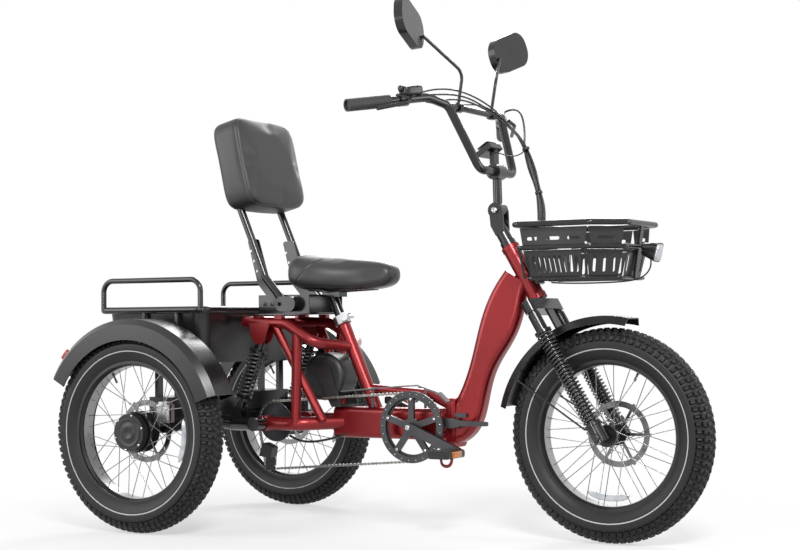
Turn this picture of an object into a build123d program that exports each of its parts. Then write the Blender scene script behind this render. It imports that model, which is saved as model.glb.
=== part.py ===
from build123d import *
from math import cos, radians, sin
import os

# Electric tricycle with two rear wheels, a folding frame and a sprung rear end.
# Millimetres. X forward, Y to the rider's left, Z up.
# The origin is on the ground, midway between the two axles.

os.makedirs("parts", exist_ok=True)

# Driving dimensions
wheelbase = 1295
track = 800
tyre_radius = 290
tyre_width = 95
head_angle = 60
head_tube_low = 423
head_tube_high = 596
crown_low = 385
fork_half_width = 80
stem_pivot_along = 703
stem_pivot_ahead = 20
stem_rise = 108
running_gap = 0.3

# Wheels
bead_radius = 204
tyre_side_radius = 245
rim_half_width = 34
rim_inner_radius = 189
rim_wall = 3
spoke_count = 36
spoke_diameter = 2.4
rotor_radius = 90
rotor_thickness = 2
front_hub_half = 48
front_hub_radius = 19
hub_flange_radius = 30
hub_flange_thickness = 4
flange_inset = 14
axle_radius = 6
rear_hub_radius = 48
rear_hub_half = 33
rear_cap_radius = 58
rear_cap_thickness = 14
drive_axle_radius = 10

# Frame
beam_low = 262
beam_high = 352
beam_width = 65
beam_corner = 16
seat_tube_diameter = 38
seat_post_diameter = 30
seat_angle = 66
side_tube_diameter = 32
side_tube_spread = 120
strut_diameter = 30
brace_diameter = 26
pivot_diameter = 46
pivot_spread = 138
pivot_height = 304
boss_length = 40
lug_spread = 17.3
lug_plate = 5
eye_half = lug_spread - lug_plate / 2 - running_gap
hinge_low = 245
hinge_high = 384
hinge_width = 72
hinge_plate = 14
hinge_gap = 1
head_tube_diameter = 48
steerer_diameter = 28
down_tube_width = 60
crank_height = 301
crank_length = 170
spindle_radius = 11
ring_pitch_radius = 97.1
chain_side = 62
chain_width = 7
chain_thickness = 8
chain_waist = 5

# Places along X, ahead of the rear axle
rear_x = -wheelbase / 2
front_x = wheelbase / 2
shock_top_x = rear_x + 249
shock_top_z = 555
shock_foot_x = rear_x + 167
shock_foot_z = 342
pivot_x = rear_x + 245
seat_clamp_x = rear_x + 444
seat_clamp_z = 600
crank_x = rear_x + 713
hinge_x = rear_x + 822
hinge_pin_side = hinge_width / 2 + 11
motor_x = rear_x + 400
motor_z = 440

axle_z = tyre_radius
steer_tilt = radians(head_angle)
seat_tilt = radians(seat_angle)


def on_steerer(along, ahead=0.0, side=0.0):
    """A point this far up the steering axis from the front axle, and ahead of it."""
    x = front_x - along * cos(steer_tilt) + ahead * sin(steer_tilt)
    z = axle_z + along * sin(steer_tilt) + ahead * cos(steer_tilt)
    return Vector(x, side, z)


def steerer_plane(along, ahead=0.0, side=0.0):
    """A plane across the steering axis, its X ahead and its Z up the axis."""
    return Plane(
        origin=on_steerer(along, ahead, side),
        x_dir=(sin(steer_tilt), 0, cos(steer_tilt)),
        z_dir=(-cos(steer_tilt), 0, sin(steer_tilt)),
    )


def on_seat_tube(along, ahead=0.0, side=0.0):
    """A point this far up the seat tube from its clamp, and ahead of it."""
    x = seat_clamp_x - along * cos(seat_tilt) + ahead * sin(seat_tilt)
    z = seat_clamp_z + along * sin(seat_tilt) + ahead * cos(seat_tilt)
    return Vector(x, side, z)


def seat_plane(along, ahead=0.0, side=0.0):
    """A plane across the seat tube, its X ahead and its Z up the tube."""
    return Plane(
        origin=on_seat_tube(along, ahead, side),
        x_dir=(sin(seat_tilt), 0, cos(seat_tilt)),
        z_dir=(-cos(seat_tilt), 0, sin(seat_tilt)),
    )


def add_tube(points, diameter, bend=0.0):
    """Adds a round tube along these points, its corners bent to a radius."""
    with BuildLine() as path:
        if len(points) == 2:
            Line(*points)
        else:
            FilletPolyline(*points, radius=bend)
    with BuildSketch(Plane(origin=path.line @ 0, z_dir=path.line % 0)) as section:
        Circle(diameter / 2)
    sweep(section.sketch, path=path.line)


def add_ring(corners, z, diameter, bend):
    """Adds a closed ring of round bar at one height, its corners bent to a radius."""
    with BuildSketch(Plane.XY.offset(z)) as outline:
        with BuildLine():
            Polyline(*corners, close=True)
        make_face()
        fillet(outline.vertices(), radius=bend)
    path = outline.sketch.faces()[0].outer_wire()
    with BuildSketch(Plane(origin=path @ 0, z_dir=path % 0)) as section:
        Circle(diameter / 2)
    sweep(section.sketch, path=path)


def add_disc(plane, radius, thickness, bore=0.0):
    """Adds a disc that starts on this plane, with a bore if one is given."""
    with BuildSketch(plane) as face:
        Circle(radius)
        if bore:
            Circle(bore, mode=Mode.SUBTRACT)
    extrude(face.sketch, amount=thickness)


def add_plate(plane, outline, thickness, corner=0.0, holes=()):
    """Adds a flat plate with this outline centred on the plane."""
    with BuildSketch(plane) as face:
        with BuildLine():
            Polyline(*outline, close=True)
        make_face()
        if corner:
            fillet(face.vertices(), radius=corner)
        for x, y, radius in holes:
            with Locations((x, y)):
                Circle(radius, mode=Mode.SUBTRACT)
    extrude(face.sketch, amount=thickness / 2, both=True)


def add_coil(plane, length, radius, wire, turns):
    """Adds a coil spring that starts on this plane and winds up its Z."""
    start = plane.origin + plane.z_dir * (wire / 2)
    height = length - wire
    with BuildLine() as path:
        Helix(pitch=height / turns, height=height, radius=radius, center=start, direction=plane.z_dir)
    with BuildSketch(Plane(origin=path.line @ 0, z_dir=path.line % 0)) as section:
        Circle(wire / 2)
    sweep(section.sketch, path=path.line, is_frenet=True)


def side_plane(x, y, z):
    """A plane facing the rider's right, its X forward and its Y up."""
    return Plane(origin=(x, y, z), x_dir=(1, 0, 0), z_dir=(0, -1, 0))


def left_plane(x, y, z):
    """A plane facing the rider's left, its X to the rear and its Y up."""
    return Plane(origin=(x, y, z), x_dir=(-1, 0, 0), z_dir=(0, 1, 0))


def wheel_plane(x, y, turn):
    """A plane through a wheel's axis, its X along the axis and its Y outward at this turn."""
    return Plane(
        origin=(x, y, axle_z),
        x_dir=(0, 1, 0),
        z_dir=(sin(radians(turn)), 0, -cos(radians(turn))),
    )


def finish(builder, name):
    """Labels a finished sub-part and writes its file."""
    builder.part.label = name
    export_step(builder.part, f"parts/{name}.step")


# Wheels: place, then the side its rotor is on
wheel_table = (
    ("front", front_x, 0, 1),
    ("rear_right", rear_x, -track / 2, 1),
    ("rear_left", rear_x, track / 2, -1),
)
for name, centre_x, centre_y, rotor_side in wheel_table:
    spin = Axis((centre_x, centre_y, axle_z), (0, 1, 0))
    rear = centre_x < 0
    hub_half = rear_hub_half if rear else front_hub_half
    hub_radius = rear_hub_radius if rear else front_hub_radius
    bore = (drive_axle_radius if rear else axle_radius) + running_gap
    flange_side = hub_half - flange_inset
    flange_radius = hub_radius + hub_flange_radius - front_hub_radius

    with BuildPart() as tyre:
        with BuildSketch(Plane.YZ.offset(centre_x)) as section:
            with BuildLine():
                low = axle_z + bead_radius
                side = axle_z + tyre_side_radius
                bead = rim_half_width - rim_wall - running_gap
                left = centre_y - tyre_width / 2
                right = centre_y + tyre_width / 2
                top = axle_z + tyre_radius
                lip = low + rim_wall * 3
                Polyline(
                    (centre_y - bead, lip),
                    (centre_y - bead, low),
                    (centre_y + bead, low),
                    (centre_y + bead, lip),
                )
                TangentArc((centre_y + bead, lip), (right, side), tangent=(0.9, 0.45))
                ThreePointArc((right, side), (centre_y, top), (left, side))
                TangentArc((centre_y - bead, lip), (left, side), tangent=(-0.9, 0.45))
            make_face()
        revolve(section.sketch, axis=spin)
    finish(tyre, f"{name}_tyre")

    with BuildPart() as rim:
        with BuildSketch(Plane.YZ.offset(centre_x)) as section:
            with Locations((centre_y, axle_z + rim_inner_radius + rim_wall)):
                Rectangle(rim_half_width * 1.1, rim_wall * 2)
            with Locations((centre_y, axle_z + bead_radius - running_gap - rim_wall)):
                Rectangle(rim_half_width * 2, rim_wall * 2)
            for edge in (-1, 1):
                flange_y = centre_y + edge * (rim_half_width - rim_wall / 2)
                with Locations((flange_y, axle_z + bead_radius)):
                    Rectangle(rim_wall, rim_wall * 5)
                with BuildLine():
                    inner = rim_inner_radius + rim_wall
                    outer = bead_radius - running_gap - rim_wall
                    near = centre_y + edge * rim_half_width * 0.4
                    far = centre_y + edge * rim_half_width * 0.9
                    Polyline(
                        (near, axle_z + inner),
                        (near + edge * rim_wall, axle_z + inner),
                        (far, axle_z + outer),
                        (far - edge * rim_wall, axle_z + outer),
                        close=True,
                    )
                make_face()
        revolve(section.sketch, axis=spin)
        hub_start = left_plane(centre_x, centre_y - hub_half, axle_z)
        add_disc(hub_start, hub_radius, hub_half * 2, bore)
        for edge in (-1, 1):
            flange_y = centre_y + edge * flange_side - hub_flange_thickness / 2
            flange_plane = left_plane(centre_x, flange_y, axle_z)
            add_disc(flange_plane, flange_radius, hub_flange_thickness, bore)
        if rear:
            outer_side = -rotor_side
            cap_y = centre_y + outer_side * hub_half
            cap_plane = left_plane(centre_x, cap_y, axle_z)
            with BuildSketch(cap_plane) as cap:
                Circle(rear_cap_radius)
            extrude(cap.sketch, amount=outer_side * rear_cap_thickness, taper=20)
    finish(rim, f"{name}_rim")

    with BuildPart() as spokes:
        spoke_foot = flange_radius + spoke_diameter / 2 + running_gap
        spoke_end = rim_inner_radius - running_gap
        for index in range(spoke_count // 4):
            for edge, lean in ((-1, 1), (-1, -1), (1, 1), (1, -1)):
                turn = index * 1440 / spoke_count + (lean + edge * 0.5) * 10
                foot_angle = radians(turn)
                end_angle = radians(turn + lean * 42)
                foot_y = centre_y + edge * flange_side
                foot = (
                    centre_x + spoke_foot * cos(foot_angle),
                    foot_y,
                    axle_z + spoke_foot * sin(foot_angle),
                )
                end = (
                    centre_x + spoke_end * cos(end_angle),
                    centre_y + edge * 4,
                    axle_z + spoke_end * sin(end_angle),
                )
                add_tube([foot, end], spoke_diameter)
        rotor_y = centre_y + rotor_side * (hub_half + running_gap)
        if rotor_side > 0:
            rotor_plane = left_plane(centre_x, rotor_y, axle_z)
        else:
            rotor_plane = side_plane(centre_x, rotor_y, axle_z)
        with BuildSketch(rotor_plane) as rotor:
            Circle(rotor_radius)
            Circle(rotor_radius - 16, mode=Mode.SUBTRACT)
            with PolarLocations(0, 6):
                with Locations((rotor_radius / 2 + 8, 0)):
                    Rectangle(rotor_radius - 8, 8)
            Circle(flange_radius - 10)
            Circle(hub_radius - 6, mode=Mode.SUBTRACT)
        extrude(rotor.sketch, amount=rotor_thickness)
    finish(spokes, f"{name}_spokes")

# Rear frame: box beam, stays, side tubes, seat tube and the rear half of the hinge
with BuildPart() as rear_frame:
    beam_rear = rear_x + 430
    beam_middle = (beam_low + beam_high) / 2
    with BuildSketch(Plane.YZ.offset(beam_rear)) as beam_end:
        with Locations((0, beam_middle)):
            RectangleRounded(beam_width, beam_high - beam_low, beam_corner)
    extrude(beam_end.sketch, amount=hinge_x - hinge_gap / 2 - beam_rear)
    with BuildSketch(Plane.YZ.offset(hinge_x - hinge_gap / 2)) as hinge_face:
        with Locations((0, (hinge_low + hinge_high) / 2)):
            RectangleRounded(hinge_width, hinge_high - hinge_low, beam_corner)
    extrude(hinge_face.sketch, amount=-hinge_plate)
    add_tube([on_seat_tube(-8), on_seat_tube(-(seat_clamp_z - beam_middle) / sin(seat_tilt))],
             seat_tube_diameter)
    brace_rear = on_seat_tube(-212)
    brace_front = (hinge_x - hinge_plate, 0, hinge_high - brace_diameter)
    add_tube([brace_rear, (crank_x + 20, 0, 392), brace_front], brace_diameter, 60)
    for side in (-1, 1):
        y = side * side_tube_spread
        tube_join = on_seat_tube(-80)
        side_route = [
            (rear_x + 175, y, 603),
            (rear_x + 323, y, 597),
            (rear_x + 420, y, 541),
            (tube_join.X, 0, tube_join.Z),
        ]
        add_tube(side_route, side_tube_diameter, 50)
        stay_route = [
            (pivot_x, side * (side_tube_spread - 4), pivot_height),
            (rear_x + 360, side * (side_tube_spread - 4), pivot_height),
            (rear_x + 470, 0, beam_middle),
        ]
        add_tube(stay_route, pivot_diameter - 6, 60)
        add_tube([(rear_x + 362, y, 566), (rear_x + 354, y, pivot_height)], strut_diameter)
        diagonal_foot = (rear_x + 426, side * 84, pivot_height + 10)
        add_tube([(rear_x + 284, y, 590), diagonal_foot], strut_diameter - 4)
        lug = [(-34, 44), (40, 42), (22, -8), (8, -18), (-8, -18), (-24, 2)]
        for edge in (-1, 1):
            lug_y = side * (pivot_spread + edge * lug_spread)
            add_plate(side_plane(shock_top_x, lug_y, shock_top_z), lug, lug_plate, 4)
        with Locations((shock_top_x + 3, side * pivot_spread, shock_top_z + 40)):
            Box(70, lug_spread * 2 + lug_plate, 6)
        for block_x in (225, 300):
            with Locations((rear_x + block_x, y, 616)):
                Box(26, 20, 622.7 * 2 - 616 * 2)
        boss_start = left_plane(pivot_x, side * (side_tube_spread - 24), pivot_height)
        with BuildSketch(boss_start) as boss_face:
            Circle(pivot_diameter / 2)
        extrude(boss_face.sketch, amount=side * boss_length)
    cross_ends = [(rear_x + 190, -side_tube_spread, 606), (rear_x + 190, side_tube_spread, 606)]
    add_tube(cross_ends, strut_diameter - 4)
    shell_plane = left_plane(crank_x, -beam_width / 2 - 4, crank_height)
    add_disc(shell_plane, 24, beam_width + 8)
    shell_axis = left_plane(crank_x, -beam_width, crank_height)
    with BuildSketch(shell_axis) as bottom_bracket_bore:
        Circle(spindle_radius + running_gap)
    extrude(bottom_bracket_bore.sketch, amount=beam_width * 2, mode=Mode.SUBTRACT)
    with BuildSketch(seat_plane(20)) as post_bore:
        Circle(seat_post_diameter / 2 + running_gap)
    extrude(post_bore.sketch, amount=-240, mode=Mode.SUBTRACT)
    for low in (hinge_low + 12, hinge_high - 36):
        with BuildSketch(Plane.XY.offset(low)) as knuckle:
            with Locations((hinge_x, hinge_pin_side)):
                Circle(10)
            with Locations((hinge_x - 9, hinge_pin_side - 6)):
                Rectangle(16, 18)
            with Locations((hinge_x, hinge_pin_side)):
                Circle(5 + running_gap, mode=Mode.SUBTRACT)
        extrude(knuckle.sketch, amount=24)
finish(rear_frame, "rear_frame")

# Rear axle: a box beam with the drive shaft in it, its arms and the legs of the rack
axle_beam_low = 285
axle_beam_high = 385
axle_beam_depth = 84
axle_beam_half = 300
with BuildPart() as swing_arm:
    with Locations((rear_x, 0, (axle_beam_low + axle_beam_high) / 2)):
        Box(axle_beam_depth, axle_beam_half * 2, axle_beam_high - axle_beam_low)
    shaft_half = track / 2 + rear_hub_half + rear_cap_thickness / 2 - 8
    shaft_plane = left_plane(rear_x, -shaft_half, axle_z)
    add_disc(shaft_plane, drive_axle_radius, shaft_half * 2)
    for side in (-1, 1):
        arm_route = [
            (rear_x + 30, side * pivot_spread, 318),
            (rear_x + 150, side * (pivot_spread + 2), 302),
            (pivot_x - 15, side * (pivot_spread + 24), pivot_height),
            (pivot_x + 12, side * (pivot_spread + 24), pivot_height),
        ]
        add_tube(arm_route, 40, 40)
        boss = left_plane(pivot_x, side * (pivot_spread + running_gap), pivot_height)
        with BuildSketch(boss) as boss_face:
            Circle(pivot_diameter / 2 - 3)
        extrude(boss_face.sketch, amount=side * 44)
        for leg_x in (-36, 36):
            with Locations((rear_x + leg_x, side * 262, (axle_beam_high + 482) / 2)):
                Box(12, 24, 482 - axle_beam_high + 2)
        with Locations((rear_x, side * 262, 480.7)):
            Box(110, 40, 6)
        with Locations((rear_x + 50, side * 324, 345)):
            Box(44, 48, 26)
        lug = [(-20, -32), (20, -32), (14, 12), (-14, 12)]
        for edge in (-1, 1):
            lug_y = side * (pivot_spread + edge * lug_spread)
            add_plate(side_plane(shock_foot_x, lug_y, shock_foot_z), lug, lug_plate, 4)
finish(swing_arm, "swing_arm")

# Rear shocks, one each side, from the lug under the side tube to the arm
shock_rise = shock_top_z - shock_foot_z
shock_run = shock_top_x - shock_foot_x
shock_length = (shock_rise**2 + shock_run**2) ** 0.5
spring_radius = 24
seat_thickness = 6
spring_foot = 42
spring_top = shock_length - 42
rear_wire = 6.5
rear_turns = 11


def shock_plane(side):
    """A plane across one shock at its lower eye, its Z up the shock."""
    return Plane(
        origin=(shock_foot_x, side * pivot_spread, shock_foot_z),
        x_dir=(shock_rise, 0, -shock_run),
        z_dir=(shock_run, 0, shock_rise),
    )


with BuildPart() as rear_shocks:
    for side in (-1, 1):
        base = shock_plane(side)
        add_disc(base.offset(10), 13, spring_foot - 10)
        add_disc(base.offset(spring_foot - 1), 9, spring_top - spring_foot + 2)
        add_disc(base.offset(spring_top), 13, shock_length - spring_top - 10)
        add_disc(base.offset(spring_foot - seat_thickness), spring_radius + 1, seat_thickness)
        add_disc(base.offset(spring_top), spring_radius + 1, seat_thickness)
        for x, z in ((shock_foot_x, shock_foot_z), (shock_top_x, shock_top_z)):
            eye = left_plane(x, side * pivot_spread - eye_half, z)
            add_disc(eye, 12, eye_half * 2)
finish(rear_shocks, "rear_shocks")

with BuildPart() as rear_springs:
    for side in (-1, 1):
        coil_base = shock_plane(side).offset(spring_foot + running_gap)
        coil_length = spring_top - spring_foot - running_gap * 2
        add_coil(coil_base, coil_length, spring_radius - rear_wire / 2, rear_wire, rear_turns)
finish(rear_springs, "rear_springs")

# Middle motor and the sprockets it drives
motor_radius = 70
motor_half = 46
with BuildPart() as motor:
    motor_plane = left_plane(motor_x, -motor_half, motor_z)
    add_disc(motor_plane, motor_radius, motor_half * 2)
    fillet(motor.edges().filter_by(GeomType.CIRCLE), radius=14)
    carrier = [(-30, 30), (30, 30), (66, -87), (34, -87)]
    for side in (-1, 1):
        plate_y = side * (motor_half + 3)
        add_plate(side_plane(motor_x, plate_y, motor_z), carrier, 6, 6)
    with Locations((motor_x + 50, 0, beam_high + 3 + running_gap)):
        Box(32, motor_half * 2 + 12, 6)
finish(motor, "motor")

sprocket_total = 7
sprocket_spacing = 4.4
sprocket_step = 5.5
sprocket_radius = 62
largest_sprocket = sprocket_radius - chain_thickness / 2 - running_gap
with BuildPart() as cassette:
    for index in range(sprocket_total):
        sprocket_y = -chain_side - 1.1 + (index - sprocket_total + 1) * sprocket_spacing
        sprocket_plane = left_plane(pivot_x, sprocket_y, pivot_height)
        sprocket_rim = largest_sprocket - (sprocket_total - 1 - index) * sprocket_step
        add_disc(sprocket_plane, sprocket_rim, 2.2, 14)
    core_length = sprocket_total * sprocket_spacing + 8
    core_plane = left_plane(pivot_x, -chain_side - core_length + 6, pivot_height)
    add_disc(core_plane, 15, core_length, 9)
    shaft_half = side_tube_spread - 24 - running_gap
    shaft_plane = left_plane(pivot_x, -shaft_half, pivot_height)
    add_disc(shaft_plane, 9, shaft_half * 2)
finish(cassette, "cassette")

# Seat clamp: a split collar and its quick-release lever
with BuildPart() as seat_clamp:
    add_disc(seat_plane(-7), 24, 26, seat_post_diameter / 2 + running_gap)
    bolt_plane = Plane(origin=on_seat_tube(6, 27, -20), x_dir=(1, 0, 0), z_dir=(0, 1, 0))
    add_disc(bolt_plane, 5, 40)
    knob = Plane(origin=on_seat_tube(6, 27, -32), x_dir=(1, 0, 0), z_dir=(0, 1, 0))
    add_disc(knob, 13, 12)
finish(seat_clamp, "seat_clamp")

# Seat post and saddle
saddle_low = 700
with BuildPart() as seat_post:
    post_top = (saddle_low - seat_clamp_z) / sin(seat_tilt)
    add_disc(seat_plane(-190), seat_post_diameter / 2, 190 + post_top - 20)
    head = on_seat_tube(post_top - 20)
    with Locations((head.X + 8, 0, head.Z + 4)):
        Box(60, 44, 22)
    for side in (-1, 1):
        rail = [
            (rear_x + 352, side * 44, saddle_low - 3.8),
            (head.X, side * 22, saddle_low - 10),
            (rear_x + 560, side * 10, saddle_low - 3.8),
        ]
        add_tube(rail, 7, 60)
finish(seat_post, "seat_post")

with BuildPart() as saddle:
    with BuildSketch(Plane.XY.offset(saddle_low)) as saddle_plan:
        # Each round of the plan: place ahead of the rear axle, half spread and radius
        for ahead, spread, radius in ((394, 60, 64), (594, 0, 30)):
            with Locations((rear_x + ahead, spread), (rear_x + ahead, -spread)):
                Circle(radius)
        make_hull()
    extrude(saddle_plan.sketch, amount=72)
    fillet(saddle.faces().sort_by(Axis.Z)[-1].edges(), radius=22)
finish(saddle, "saddle")

# Backrest: base channel, drilled arms, bent tubes and the pad
pad_lean = 13
pad_centre = (rear_x + 142, 0, 1075)
back_tube_radius = 11.5
back_tube_side = 94 + back_tube_radius
pad_plane = Plane(
    origin=pad_centre,
    x_dir=(0, 1, 0),
    z_dir=(cos(radians(pad_lean)), 0, sin(radians(pad_lean))),
)
with BuildPart() as backrest_frame:
    channel_rear = rear_x + 205
    channel_length = 180
    with BuildSketch(Plane.YZ.offset(channel_rear)) as channel:
        with Locations((0, 654)):
            Rectangle(182, 56)
        with Locations((0, 654)):
            Rectangle(174, 48, mode=Mode.SUBTRACT)
        with Locations((0, 624.8)):
            Rectangle(276, 3.6)
    extrude(channel.sketch, amount=channel_length)
    for side in (-1, 1):
        arm_plane = side_plane(rear_x, side * 93, 0)
        arm = [
            (285, 634), (352, 634), (352, 678), (300, 682), (245, 730), (208, 850), (168, 850),
            (205, 715), (250, 665),
        ]
        holes = [(180, 815, 4), (190, 785, 4), (201, 755, 4)]
        add_plate(arm_plane, arm, 4, 8, holes)
        tube_y = side * back_tube_side
        tube_route = [
            (rear_x + 310, tube_y, 655),
            (rear_x + 240, tube_y, 735),
            (rear_x + 194, tube_y, 845),
            (rear_x + 130, tube_y, 991),
        ]
        add_tube(tube_route, back_tube_radius * 2, 60)
    for side in (-1, 1):
        boss_plane = side_plane(rear_x + 318, side * 106, 655)
        with BuildSketch(boss_plane) as boss:
            SlotCenterToCenter(27, 44)
        extrude(boss.sketch, amount=13, both=True)
finish(backrest_frame, "backrest_frame")

with BuildPart() as backrest_pad:
    with BuildSketch(pad_plane.offset(-30)) as pad_face:
        RectangleRounded(300, 270, 60)
    extrude(pad_face.sketch, amount=80)
    fillet(backrest_pad.faces().sort_by(Axis.X)[-1].edges(), radius=24)
    for side in (-1, 1):
        socket_y = side * back_tube_side
        socket_top = (rear_x + 125, socket_y, 1002)
        socket_foot = (rear_x + 194, socket_y, 845)
        with BuildLine() as socket_line:
            Line(socket_foot, socket_top)
        foot_plane = Plane(origin=socket_line.line @ 0, z_dir=socket_line.line % 0)
        with BuildSketch(foot_plane) as socket:
            Circle(back_tube_radius + running_gap)
        socket_length = (Vector(*socket_top) - Vector(*socket_foot)).length
        extrude(socket.sketch, amount=socket_length, mode=Mode.SUBTRACT)
finish(backrest_pad, "backrest_pad")

# Cargo rack, its side rails, and the bin in it
fender_radius = 325
fender_half_width = 60
fender_wall = 3
rear_fender_start = 151
rear_fender_end = 20
rack_rear = rear_x - 224
rack_front = rear_x + 157
rack_side = 300
rack_z = 640
rail_top = 728
with BuildPart() as cargo_rack:
    rack_corners = [
        (rack_rear, rack_side), (rack_front, rack_side),
        (rack_front, -rack_side), (rack_rear, -rack_side),
    ]
    add_ring(rack_corners, rack_z, 20, 24)
    for side in (-1, 1):
        loop = [
            (rack_rear + 10, side * rack_side, rack_z), (rack_rear + 10, side * rack_side, rail_top),
            (rack_front - 10, side * rack_side, rail_top), (rack_front - 10, side * rack_side, rack_z),
        ]
        add_tube(loop, 16, 34)
    for side in (-1, 1):
        fender_inner = track / 2 - fender_half_width
        for x in (-60, 60):
            bracket = [
                (rear_x + x, side * rack_side, rack_z),
                (rear_x + x, side * rack_side, 575),
                (rear_x + x, side * (fender_inner - running_gap), 575),
            ]
            add_tube(bracket, 12, 14)
finish(cargo_rack, "cargo_rack")

with BuildPart() as cargo_bin:
    bin_length = rack_front - rack_rear - 19
    bin_width = rack_side * 2 - 19
    with BuildSketch(Plane.XY.offset(484)) as bin_floor:
        with Locations(((rack_rear + rack_front) / 2, 0)):
            RectangleRounded(bin_length - 30, bin_width - 30, 40)
    with BuildSketch(Plane.XY.offset(636)) as bin_mouth:
        with Locations(((rack_rear + rack_front) / 2, 0)):
            RectangleRounded(bin_length, bin_width, 40)
    loft([bin_floor.sketch, bin_mouth.sketch])
    offset(amount=-3, openings=cargo_bin.faces().sort_by(Axis.Z)[-1])
finish(cargo_bin, "cargo_bin")

# Rear fenders: a channel section turned about each wheel
with BuildPart() as rear_fenders:
    for side in (-1, 1):
        middle = side * track / 2
        spin = Axis((rear_x, middle, axle_z), (0, 1, 0))
        section_plane = wheel_plane(rear_x, middle, rear_fender_start)
        with BuildSketch(section_plane) as fender_section:
            with BuildLine():
                deep = fender_radius - 60
                shoulder = fender_radius - 16
                out = fender_half_width
                Polyline(
                    (-out, deep), (-out, shoulder), (-out + 18, fender_radius),
                    (out - 18, fender_radius), (out, shoulder), (out, deep),
                    (out - fender_wall, deep), (out - fender_wall, shoulder),
                    (out - 20, fender_radius - fender_wall),
                    (-out + 20, fender_radius - fender_wall),
                    (-out + fender_wall, shoulder), (-out + fender_wall, deep), close=True,
                )
            make_face()
        revolve(fender_section.sketch, axis=spin, revolution_arc=rear_fender_start - rear_fender_end)
finish(rear_fenders, "rear_fenders")

# Front frame: the front half of the hinge, the down tube and the head tube
with BuildPart() as front_frame:
    with BuildSketch(Plane.YZ.offset(hinge_x + hinge_gap / 2)) as hinge_face:
        with Locations((0, (hinge_low + hinge_high) / 2)):
            RectangleRounded(hinge_width, hinge_high - hinge_low, beam_corner)
    extrude(hinge_face.sketch, amount=hinge_plate)
    # Place ahead of the rear axle, height, slope, depth and width of each tube section
    down_tube_sections = (
        (832, 316, 5, 124, 66),
        (862, 340, 45, 98, 62),
        (888, 405, 71, 77, down_tube_width),
        (934, 524, 70, 90, down_tube_width - 4),
        (987, 650, 66, 108, down_tube_width - 12),
        (1022, 722, 60, 84, down_tube_width - 18),
    )
    tube_faces = []
    for ahead, height, slope, depth, width in down_tube_sections:
        section_plane = Plane(
            origin=(rear_x + ahead, 0, height),
            x_dir=(0, 1, 0),
            z_dir=(cos(radians(slope)), 0, sin(radians(slope))),
        )
        with BuildSketch(section_plane) as tube_section:
            RectangleRounded(width, depth, 20)
        tube_faces.append(tube_section.sketch)
    loft(tube_faces)
    add_disc(steerer_plane(head_tube_low), head_tube_diameter / 2, head_tube_high - head_tube_low)
    add_disc(steerer_plane(head_tube_low), head_tube_diameter / 2 + 3, 16)
    add_disc(steerer_plane(head_tube_high - 12), head_tube_diameter / 2 + 2, 12)
    with BuildSketch(steerer_plane(head_tube_low - 5)) as head_bore:
        Circle(steerer_diameter / 2 + running_gap)
    extrude(head_bore.sketch, amount=head_tube_high - head_tube_low + 10, mode=Mode.SUBTRACT)
    with BuildSketch(Plane.XY.offset(hinge_low + 36 + running_gap)) as knuckle:
        with Locations((hinge_x, hinge_pin_side)):
            Circle(10)
        with Locations((hinge_x + 9, hinge_pin_side - 6)):
            Rectangle(16, 18)
    extrude(knuckle.sketch, amount=hinge_high - hinge_low - 72 - running_gap * 2)
    add_disc(Plane(origin=(hinge_x, hinge_pin_side, hinge_low + 6)), 5, hinge_high - hinge_low - 12)
finish(front_frame, "front_frame")

# Fold lever with its catch, on the right of the front half
with BuildPart() as fold_latch:
    lever_side = -hinge_width / 2 - 12
    lever_plane = side_plane(hinge_x, lever_side, 314)
    lever = [(-16, -14), (14, -14), (40, -8), (124, -6), (124, 6), (40, 8), (14, 14), (-16, 14)]
    add_plate(lever_plane, lever, 8, 3)
    block = Plane(origin=(hinge_x + 18, -hinge_width / 2 - 4 - running_gap, 314))
    with Locations(block):
        Box(24, 8, 26)
    catch_plane = side_plane(hinge_x + 34, -down_tube_width / 2 - 5 - running_gap, 336)
    add_plate(catch_plane, [(-18, -6), (18, -6), (18, 6), (-18, 6)], 6, 4)
finish(fold_latch, "fold_latch")

# Basket on the head tube: wire frame, then the slotted sheets
basket_rear = rear_x + 1090
basket_front = rear_x + 1390
basket_half = 170
basket_nose_half = 100
basket_shoulder = rear_x + 1314
basket_top = 857
basket_low = 712


def basket_corners(inset):
    """The plan corners of the basket, moved in by the inset."""
    return [
        (basket_rear + inset, basket_half - inset),
        (basket_shoulder - inset, basket_half - inset),
        (basket_front - inset, basket_nose_half - inset),
        (basket_front - inset, -basket_nose_half + inset),
        (basket_shoulder - inset, -basket_half + inset),
        (basket_rear + inset, -basket_half + inset),
    ]


with BuildPart() as basket_frame:
    # Height, inset and wire diameter of each ring
    for z, inset, wire in ((basket_top, 0, 16), (795, 6, 12), (basket_low, 26, 8)):
        add_ring(basket_corners(inset), z, wire, 18)
    for y in (-60, 0, 60):
        floor_z = basket_low - 2.5
        add_tube([(basket_rear + 26, y, floor_z), (basket_front - 26, y, floor_z)], 6)
    for y in (-50, 50):
        add_tube([(basket_rear - 3, y, basket_top), (basket_rear + 22, y, basket_low)], 8)
    post = [
        (basket_front - 2, basket_top), (basket_front + 4, basket_top),
        (basket_front - 18, basket_low), (basket_front - 24, basket_low),
    ]
    add_plate(side_plane(0, 0, 0), post, 20)
    for side in (-1, 1):
        for x, lean in ((basket_rear + 22, 8), (basket_shoulder - 22, -4)):
            high = (x - lean, side * (basket_half - 6), 795)
            low = (x, side * (basket_half - 26), basket_low)
            add_tube([high, low], 7)
    with Locations((basket_rear + 10, 0, basket_low + 4)):
        Box(32, 50, 12)
    with Locations(steerer_plane(head_tube_low + 74, head_tube_diameter / 2 + 4 + running_gap)):
        Box(8, 44, 76)
finish(basket_frame, "basket_frame")

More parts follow.
